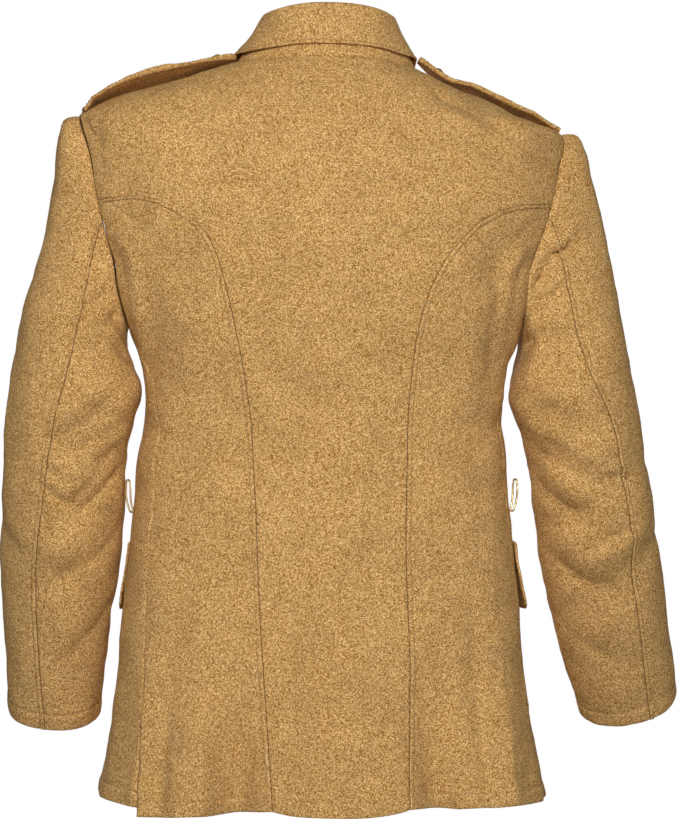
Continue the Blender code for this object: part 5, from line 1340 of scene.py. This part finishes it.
def sew(name, cloth_name, along_rows, distance, from_end=False):
    line, normals = line_of(cloth_name, along_rows, distance, from_end)
    STITCHES_AND_SEAM_SHADE.append(stitch_row("stitching_" + name, cloth_name, line, normals))


for name in ("center_back_cloth", "side_back_cloth_left", "side_back_cloth_right",
             "front_cloth_left", "front_cloth_right"):
    sew("hem_" + name.replace("_cloth", ""), name, True, HEM_STITCH)
sew("collar", "collar_fall_cloth", False, FALL_STITCH, True)
for side in SIDES:
    sew("back_seam_" + side, "side_back_cloth_" + side, False, WELT)
    sew("sleeve_seam_" + side, "top_sleeve_cloth_" + side, False, WELT)
    sew("flap_" + side, "pocket_flap_cloth_" + side, True, FLAP_STITCH)
    sew("strap_back_" + side, "shoulder_strap_cloth_" + side, False, STRAP_STITCH)
    sew("strap_front_" + side, "shoulder_strap_cloth_" + side, False, STRAP_STITCH, True)
    for part in ("top", "under"):
        sew(f"cuff_{part}_{side}", f"{part}_sleeve_cloth_{side}", True, CUFF_STITCH, True)


SEAM_SHADE_RADIUS = 0.00048     # radius of the dark tube at the bottom of a seam, coloured as painted shade
SEAM_SUNK = 0.0001        # how deep its middle lies under the rolled edge


def sunk_shade_line(name, cloth_name, line, normals):
    """One long dark tube along a line of a cloth, just under its face; its colour is painted shade."""
    runs = unit(np.gradient(line, axis=0))
    ring = circle_of(unit(np.cross(normals, runs)), normals, THREAD_SIDES)
    points = (line - normals * SEAM_SUNK)[:, None] + ring * SEAM_SHADE_RADIUS
    thing = link_mesh("seam_" + name, points.reshape(-1, 3), sweep_faces(*points.shape[:2]))
    CLOTHS[cloth_name]["with"].append(thing)
    STITCHES_AND_SEAM_SHADE.append(thing)


def seam_shade_line(name, cloth_name, along_rows, from_end=False):
    """One dark tube along an edge of a cloth, sunk where the cloth rolls into the seam: painted shade of
    its groove.
    """
    sunk_shade_line(name, cloth_name, *line_of(cloth_name, along_rows, 0.0, from_end))


for side in SIDES:
    seam_shade_line("back_" + side, "side_back_cloth_" + side, False)
    seam_shade_line("side_" + side, "side_back_cloth_" + side, False, True)
    for part in ("top", "under"):
        seam_shade_line(f"armhole_{part}_{side}", f"{part}_sleeve_cloth_{side}", True)
    seam_shade_line("sleeve_" + side, "top_sleeve_cloth_" + side, False)
seam_shade_line("neck", "collar_stand_cloth", True)
# Under each strap a dark tube runs at the distance of its stitching: painted shade where the strap lies on
# the shoulder.
for side in SIDES:
    under, downs = strap_unders[side]
    reach = lengths_along(under[len(under) // 2])
    k = int(np.argmin(np.abs(reach - STRAP_STITCH)))
    sunk_shade_line("strap_under_" + side, "shoulder_strap_cloth_" + side, under[3:-3, k], downs[3:-3, k])
print(len(STITCHES_AND_SEAM_SHADE), "rows of stitching")

# %% [markdown]
# ## Brass buttons and belt hooks
#
# The buttons are domed, with a rolled rim, turned here from one profile. The belt
# hooks are hairpins of brass wire that come out of the side and turn up to carry a belt. Both were
# left plain: nothing is stamped on them.

# %% The buttons
FRONT_BUTTON = 0.0240
FRONT_BUTTON_HEIGHT = 0.0075
STRAP_BUTTON = 0.0135
STRAP_BUTTON_HEIGHT = 0.0046
BUTTON_SEAT = 0.0006
STRAP_BUTTON_SEAT = 0.0012
FIRST_BUTTON = -0.128
BUTTON_SPACING = 0.107
FRONT_MIDDLE = -math.pi / 2
BUTTON_SIDES = 48
STRAP_BUTTON_X = {"left": 0.1085, "right": 0.1160}
ProfileSpot = namedtuple("ProfileSpot", "out rise")
BUTTON_PROFILE = (
    ProfileSpot(0.00, 0.00), ProfileSpot(0.70, 0.00), ProfileSpot(0.90, 0.05),
    ProfileSpot(0.985, 0.14), ProfileSpot(1.00, 0.22), ProfileSpot(0.985, 0.30),
    ProfileSpot(0.955, 0.345), ProfileSpot(0.915, 0.35), ProfileSpot(0.885, 0.325),
    ProfileSpot(0.865, 0.33), ProfileSpot(0.80, 0.47), ProfileSpot(0.70, 0.63),
    ProfileSpot(0.56, 0.79), ProfileSpot(0.38, 0.92), ProfileSpot(0.19, 0.985),
    ProfileSpot(0.00, 1.00))


def make_button(name, node, center, up, diameter, height):
    profile = np.array(BUTTON_PROFILE)[1:-1]
    helper = np.array([0.0, 0.37, 1.0]) if abs(up[1]) > 0.9 else np.array([0.0, 1.0, 0.0])
    side_way = unit(np.cross(up, helper))
    ring = circle_of(side_way, np.cross(up, side_way), BUTTON_SIDES)
    points = (center + up * (profile[:, 1] * height)[:, None, None]
              + ring[None] * (profile[:, 0] * diameter / 2)[:, None, None]).reshape(-1, 3)
    *faces, first_cap, last_cap = sweep_faces(len(profile), BUTTON_SIDES)
    first_ring = first_cap[::-1]
    base, crown = len(points), len(points) + 1
    faces += [[base, j, i] for i, j in zip(first_ring, first_ring[1:] + first_ring[:1])]
    faces += [[crown, i, j] for i, j in zip(last_cap, last_cap[1:] + last_cap[:1])]
    button = link_mesh(name, np.concatenate([points, [center, center + up * height]]), faces)
    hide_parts(node)
    return button


def strap_top(side, out):
    """Middle of a strap's top and the way up there, at a distance from the middle of the neck."""
    rows = np.array([(abs(spot.x), spot.z, spot.width, spot.droop) for spot in STRAPS[side]])[::-1]
    z, width, droop = (float(np.interp(out, rows[:, 0], rows[:, k])) for k in (1, 2, 3))
    hang = droop * 0.5 ** DROOP_POWER
    spots, ups, _, _ = strap_frames(side, 40)
    near = int(np.argmin(np.abs(np.abs(spots[:, 0]) - out)))
    up = unit(np.array([ups[near, 0], -DROOP_POWER * hang / (width / 2), ups[near, 2]]))
    return np.array([math.copysign(out, spots[0, 0]), 0, z - hang]), up


BRASSES = []
for i in range(5):
    level = level_at(FIRST_BUTTON - BUTTON_SPACING * i, lambda level: FRONT_MIDDLE)
    away = body_normal(FRONT_MIDDLE, level)
    BRASSES.append(make_button(f"front_button_brass_{i + 1}", f"front_button_{i + 1}",
                               body(FRONT_MIDDLE, level) + away * BUTTON_SEAT, away,
                               FRONT_BUTTON, FRONT_BUTTON_HEIGHT))
for side in SIDES:
    spot, away = strap_top(side, STRAP_BUTTON_X[side])
    BRASSES.append(make_button("strap_button_brass_" + side, "strap_button_" + side,
                               spot + away * STRAP_BUTTON_SEAT, away,
                               STRAP_BUTTON, STRAP_BUTTON_HEIGHT))
print(len(BRASSES), "buttons")

# %% The belt hooks
WIRE = 0.0020
HOOK_FOOT = -0.457
HOOK_TOP = -0.424
HOOK_HALF_WIDTH = 0.0045
HOOK_STAND = 0.0034
HOOK_LEAN = 0.0034
HOOK_BEND = 0.0030
HOOK_ROOT = -0.0020
HOOK_TURN = 3.0
HOOK_YAW = 0.45           # turn about its own upright, as it swings in its eyelets
WIRE_SIDES = 12


def make_hook(side):
    angle = side_angle(side, math.radians(HOOK_TURN))
    level = float(skirt_level(HOOK_FOOT))
    foot = body(angle, level)
    away = body_normal(angle, level)
    away = unit(np.array([away[0], away[1], 0.0]))
    across = np.cross(np.array([0.0, 0.0, 1.0]), away)
    away, across = (away * math.cos(HOOK_YAW) + across * math.sin(HOOK_YAW),
                    across * math.cos(HOOK_YAW) - away * math.sin(HOOK_YAW))
    rise = HOOK_TOP - HOOK_FOOT
    half = HOOK_HALF_WIDTH - WIRE / 2
    leg = [(HOOK_ROOT, 0.0), (HOOK_STAND - HOOK_BEND * 0.3, HOOK_BEND * 0.3),
           (HOOK_STAND, HOOK_BEND), (HOOK_STAND + HOOK_LEAN, rise - half)]
    up_way = np.array([0.0, 0.0, 1.0])
    line = [foot + away * o + across * half + up_way * u for o, u in leg]
    for turn in np.linspace(0, math.pi, 7)[1:-1]:
        line.append(foot + away * (HOOK_STAND + HOOK_LEAN) + across * half * math.cos(turn)
                    + up_way * (rise - half + half * math.sin(turn)))
    line += [foot + away * o - across * half + up_way * u for o, u in reversed(leg)]
    line = np.array(line)
    knots = lengths_along(line)
    line = smooth_curve(knots, line, np.linspace(0, knots[-1], 90))
    runs = unit(np.gradient(line, axis=0))
    first = unit(np.cross(runs, away + across * 0.31 + up_way * 0.17))
    for i in range(1, len(first)):
        if float(dot(first[i], first[i - 1])) < 0:
            first[i] = -first[i]
    ring = circle_of(first, np.cross(runs, first), WIRE_SIDES)
    sections = line[:, None] + WIRE / 2 * ring
    hook = link_mesh("belt_hook_brass_" + side, sections.reshape(-1, 3),
                     sweep_faces(*sections.shape[:2]))
    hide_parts("belt_hook_" + side)
    return hook


for side in SIDES:
    BRASSES.append(make_hook(side))
print(len(BRASSES), "brass pieces")

# %% [markdown]
# ## Milled khaki wool
#
# The cloth is a heather: fibres of several browns are carded together before spinning, so close up
# it is a mass of pale and dark flecks. Noise at about the size of a thread gives the flecks, a
# coarser one drifts the tone, and faint diagonal lines are the twill under the nap. Shader maths
# is written as plain expressions through one small class that wraps a socket.

# %% A class for shader maths
class Socket:
    """An output of a node. Maths on it adds Math nodes; node() adds any other node."""

    def __init__(self, tree, output=None):
        self.tree = tree
        self.output = output

    def node(self, kind, settings=None, sockets=None, output=0):
        made = self.tree.nodes.new(kind)
        for name, value in (settings or {}).items():
            if name == "stops":
                ramp = made.color_ramp.elements
                while len(ramp) < len(value):
                    ramp.new(0.5)
                for stop, (position, colour) in zip(ramp, value):
                    stop.position = position
                    stop.color = (*colour, 1.0)
            else:
                setattr(made, name, value)
        for name, value in (sockets or {}).items():
            if isinstance(value, Socket):
                self.tree.links.new(value.output, made.inputs[name])
            else:
                made.inputs[name].default_value = value
        return Socket(self.tree, made.outputs[output])

    def maths(self, operation, a, b):
        return self.node("ShaderNodeMath", {"operation": operation}, {0: a, 1: b})

    def __add__(self, other):
        return self.maths("ADD", self, other)

    __radd__ = __add__

    def __mul__(self, other):
        return self.maths("MULTIPLY", self, other)

    __rmul__ = __mul__

    def __sub__(self, other):
        return self.maths("SUBTRACT", self, other)

    def __rsub__(self, other):
        return self.maths("SUBTRACT", other, self)

    def blend(self, a, b):
        """Colour a where this is 0 and colour b where it is 1."""
        return self.node("ShaderNodeMix", {"data_type": "RGBA"}, {0: self, 6: a, 7: b}, 2)


def new_finish(name, **steady):
    """A material with its steady values set, its tree and its Principled shader."""
    made = bpy.data.materials.new(name)
    made.use_nodes = True
    shader = made.node_tree.nodes["Principled BSDF"]
    for socket, value in steady.items():
        shader.inputs[socket.replace("_", " ")].default_value = value
    return made, Socket(made.node_tree), shader


def feed(made, shader, **links):
    for socket, value in links.items():
        made.node_tree.links.new(value.output, shader.inputs[socket.replace("_", " ")])


print("a socket has", ", ".join(name for name in vars(Socket) if not name.startswith("_")))

# %% The wool
WOOL_MIDDLE = (0.600, 0.306, 0.0690, 1.0)
WOOL_PALE = (1.000, 0.700, 0.3300, 1.0)
WOOL_DARK = (0.170, 0.056, 0.0050, 1.0)
FLECK_CELLS = 1650.0      # flecks to a metre
FLECK_NOISE = 2400.0      # finer noise over them, to a metre
CELL_SHARE = 1.25         # how much of the pale and dark mix comes from the cells
NOISE_SHARE = 0.30
MIX_SHIFT = 0.275
DRIFT_NOISE = 26.0        # slow drift of the tone, to a metre
TWILL_PITCH = 0.0021
TWILL_SCALE = 0.31        # bands of the wave texture to one pitch


def wool_finish(name):
    made, start, shader = new_finish(name, Roughness=0.94, Sheen_Weight=0.05, Sheen_Roughness=0.45,
                                     Sheen_Tint=(0.95, 0.74, 0.42, 1.0), Specular_IOR_Level=0.15)
    place = start.node("ShaderNodeTexCoord", output=3)
    cells = start.node("ShaderNodeTexVoronoi", {}, {"Vector": place, "Scale": FLECK_CELLS}, 1)
    chance = start.node("ShaderNodeSeparateColor", {}, {"Color": cells})
    fleck = start.node("ShaderNodeTexNoise", {"noise_dimensions": "3D"},
                       {"Vector": place, "Scale": FLECK_NOISE, "Detail": 1.0, "Roughness": 0.6})
    drift = start.node("ShaderNodeTexNoise", {},
                       {"Vector": place, "Scale": DRIFT_NOISE, "Detail": 3.0, "Roughness": 0.55})
    mix = chance * CELL_SHARE + fleck * NOISE_SHARE - MIX_SHIFT
    pale = start.node("ShaderNodeMapRange", {}, {"Value": mix, "From Min": 0.50, "From Max": 1.00})
    dark = start.node("ShaderNodeMapRange", {}, {"Value": mix, "From Min": 0.50, "From Max": 0.00})
    colour = pale.blend(WOOL_MIDDLE, WOOL_PALE)
    colour = dark.blend(colour, WOOL_DARK)
    lighter = start.node("ShaderNodeMapRange", {}, {"Value": drift, "From Min": 0.30, "From Max": 0.70,
                                                    "To Min": 0.92, "To Max": 1.08})
    colour = start.node("ShaderNodeVectorMath", {"operation": "SCALE"},
                        {"Vector": colour, "Scale": lighter})
    twill = start.node("ShaderNodeTexWave", {"wave_type": "BANDS", "bands_direction": "DIAGONAL"},
                       {"Vector": place, "Scale": TWILL_SCALE / TWILL_PITCH, "Distortion": 1.6,
                        "Detail": 2.0, "Detail Scale": 3.0}, 1)
    height = fleck * 0.9 + chance * 0.5 + twill * 0.16
    bump = start.node("ShaderNodeBump", {}, {"Height": height, "Strength": 0.45, "Distance": 0.0008})
    feed(made, shader, Base_Color=colour, Normal=bump,
         Roughness=0.86 + 0.12 * fleck)
    return made


print(FLECK_CELLS, "flecks of wool to a metre")

# %% Thread and brass
def thread_finish():
    made, start, shader = new_finish("khaki_thread", Roughness=0.62, Sheen_Weight=0.15)
    place = start.node("ShaderNodeTexCoord", output=3)
    strand = start.node("ShaderNodeTexNoise", {}, {"Vector": place, "Scale": 900.0, "Detail": 2.0})
    feed(made, shader, Base_Color=strand.blend((0.16, 0.080, 0.024, 1.0), (0.34, 0.190, 0.065, 1.0)))
    return made


# Dark brown of the tubes in the seams: painted shade of the seam's groove.
def seam_shade_finish():
    return new_finish("shaded_thread", Roughness=0.9, Base_Color=(0.130, 0.066, 0.020, 1.0))[0]


def brass_finish():
    made, start, shader = new_finish("dull_brass", Metallic=1.0)
    place = start.node("ShaderNodeTexCoord", output=3)
    cloud = start.node("ShaderNodeTexNoise", {}, {"Vector": place, "Scale": 210.0, "Detail": 5.0,
                                                  "Roughness": 0.62})
    spots = cloud.node("ShaderNodeMapRange", {}, {"Value": cloud, "From Min": 0.42, "From Max": 0.66})
    tarnish = spots.blend((0.80, 0.62, 0.30, 1.0), (0.42, 0.29, 0.11, 1.0))
    bump = start.node("ShaderNodeBump", {}, {"Height": cloud, "Strength": 0.18, "Distance": 0.0004})
    feed(made, shader, Base_Color=tarnish, Roughness=0.24 + 0.30 * spots, Normal=bump)
    return made


wool = wool_finish("khaki_wool")
thread = thread_finish()
shaded = seam_shade_finish()
brass = brass_finish()
print(len(wool.node_tree.nodes), "nodes in the wool")

# %% [markdown]
# ## Dress the pieces
#
# Each piece gets its finish, rides on the one body, and hides the solid it stands for. For each
# sheet of cloth the size it was cut to is printed: the width and length of its piece and its flat
# area, which are measured off its own grid.

# %% Finishes, bodies and sheets
CLOTH_NODES = {cloth_name: cloth_name.replace("_cloth", "") for cloth_name in CLOTHS}


def cut_of(cloth):
    """Widest row, length down the middle and area of a cut piece, off its outer grid."""
    grid = cloth["outer"]
    widths = np.sum(np.linalg.norm(np.diff(grid, axis=1), axis=-1), axis=1)
    lengths = np.sum(np.linalg.norm(np.diff(grid, axis=0), axis=-1), axis=0)
    diagonal = grid[1:, 1:] - grid[:-1, :-1]
    cross = grid[1:, :-1] - grid[:-1, 1:]
    area = float(np.sum(np.linalg.norm(np.cross(diagonal, cross), axis=-1)) / 2)
    return float(widths.max()), float(lengths[len(lengths) // 2]), area


for cloth_name, cloth in CLOTHS.items():
    piece = cloth["piece"]
    piece.data.materials.append(wool)
    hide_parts(CLOTH_NODES[cloth_name])
    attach(piece, "root")
    for row in cloth["with"]:
        # The tubes in the seams take the painted seam shade; the rows of stitching take the thread.
        row.data.materials.append(shaded if row.name.startswith("seam_") else thread)
        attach(row, "root")
    width, length, area = cut_of(cloth)
    print(cloth_name, "cut", round(width, 3), "by", round(length, 3), "m, area", round(area, 4))
for piece in BRASSES:
    piece.data.materials.append(brass)
    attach(piece, "root")

# %% [markdown]
# ## Studio, light and camera
#
# The tunic is lit by two soft lights on the camera's side and by a like pair on the far side,
# which the other views need. All stand near the line of view, so the sides round away into
# shade. Round it stands a plain white drum that the camera sees but that casts no light on the
# cloth, which keeps its modelling. The drum is wide, so that other views don't start outside it.
# The floor is where a standing wearer's feet would be.

# %% The stage
FLOOR = -1.45
FLOOR_RADIUS = 4.5
DRUM_RADIUS = 30.0
DRUM_TOP = 20.0
DRUM_BOTTOM = -8.0
DRUM_SIDES = 64
pale_paint, start, shader = new_finish("pale_paint", Roughness=0.9)
grain = start.node("ShaderNodeTexNoise", {}, {"Scale": 3.0, "Detail": 2.0})
feed(pale_paint, shader, Base_Color=grain.blend((0.83, 0.83, 0.82, 1.0), (0.86, 0.86, 0.85, 1.0)))
shader.inputs["Emission Color"].default_value = (1.0, 1.0, 1.0, 1.0)
shader.inputs["Emission Strength"].default_value = 0.45
lit_paint, start, shader = new_finish("lit_paint", Roughness=0.9, Emission_Strength=1.0,
                                      Specular_IOR_Level=0.0)
shader.inputs["Base Color"].default_value = (0.0, 0.0, 0.0, 1.0)
shader.inputs["Emission Color"].default_value = (1.0, 1.0, 1.0, 1.0)
turns = np.arange(DRUM_SIDES) * 2 * math.pi / DRUM_SIDES
circle = np.stack([np.cos(turns), np.sin(turns)], axis=-1)
disc = np.column_stack([circle * FLOOR_RADIUS, np.full(DRUM_SIDES, FLOOR)])
rims = [np.column_stack([circle * DRUM_RADIUS, np.full(DRUM_SIDES, z)])
        for z in (DRUM_BOTTOM, DRUM_TOP)]
floor = link_mesh("studio_floor", disc, [list(range(DRUM_SIDES))])
floor.data.materials.append(pale_paint)
sides = [[i, (i + 1) % DRUM_SIDES, (i + 1) % DRUM_SIDES + DRUM_SIDES, i + DRUM_SIDES]
         for i in range(DRUM_SIDES)]
drum = link_mesh("studio_wall", np.concatenate(rims),
                 sides + [list(range(DRUM_SIDES))[::-1], list(range(DRUM_SIDES, 2 * DRUM_SIDES))])
drum.data.materials.append(lit_paint)
drum.visible_diffuse = drum.visible_glossy = drum.visible_shadow = False
floor.visible_diffuse = False

bpy.context.scene.view_settings.view_transform = "Standard"
world = bpy.data.worlds.new("studio")
bpy.context.scene.world = world
world.use_nodes = True
world.node_tree.nodes["Background"].inputs["Color"].default_value = (1.0, 0.97, 0.92, 1.0)
world.node_tree.nodes["Background"].inputs["Strength"].default_value = 0.12


Light = namedtuple("Light", "name x y z aim_z size power colour")
WARM = (1.0, 0.985, 0.96)
WHITE = (1.0, 1.0, 1.0)
LIGHTS = (
    Light("key", 0.5, 2.9, 0.9, -0.30, 0.7, 62.0, WARM),
    Light("fill", -0.5, 3.3, -0.2, -0.38, 1.0, 26.0, WHITE),
    Light("front_key", -0.6, -3.0, 0.9, -0.30, 0.9, 64.0, WARM),
    Light("front_fill", 0.6, -3.2, -0.2, -0.38, 1.0, 26.0, WHITE),
)


def soft_light(row):
    """A square light that faces a spot of the tunic's middle line."""
    data = bpy.data.lights.new(row.name, "AREA")
    data.shape = "SQUARE"
    data.size = row.size
    data.energy = row.power
    data.color = row.colour
    light = bpy.data.objects.new(row.name, data)
    bpy.context.scene.collection.objects.link(light)
    light.location = (row.x, row.y, row.z)
    drop = row.z - row.aim_z
    light.rotation_euler = (math.atan2(math.hypot(row.x, row.y), drop), 0.0,
                            math.atan2(-row.y, -row.x) - math.pi / 2)


for row in LIGHTS:
    soft_light(row)
print(len(LIGHTS), "soft lights")

# %% The camera
VIEW_DISTANCE = 2.85
VIEW_SCALE = 1.02e-3      # metres of the object to one pixel, at the side seams
VIEW_HEIGHT = -0.353
VIEW_SHIFT = 15
VIEW_TURN = math.radians(5.0)
IMAGE_HEIGHT = 819
camera_data = bpy.data.cameras.new("camera")
camera_data.sensor_fit = "VERTICAL"
camera_data.sensor_height = 36.0
camera_data.lens = 36.0 * VIEW_DISTANCE / (IMAGE_HEIGHT * VIEW_SCALE)
camera = bpy.data.objects.new("camera", camera_data)
bpy.context.scene.collection.objects.link(camera)
behind = np.array([math.sin(VIEW_TURN), math.cos(VIEW_TURN), 0.0])
rightward = np.array([-math.cos(VIEW_TURN), math.sin(VIEW_TURN), 0.0])
camera.location = behind * VIEW_DISTANCE + rightward * VIEW_SHIFT * VIEW_SCALE + [0, 0, VIEW_HEIGHT]
camera.rotation_euler = (math.pi / 2, 0.0, math.pi - VIEW_TURN)
bpy.context.scene.camera = camera
print("lens", round(camera_data.lens, 1), "mm")
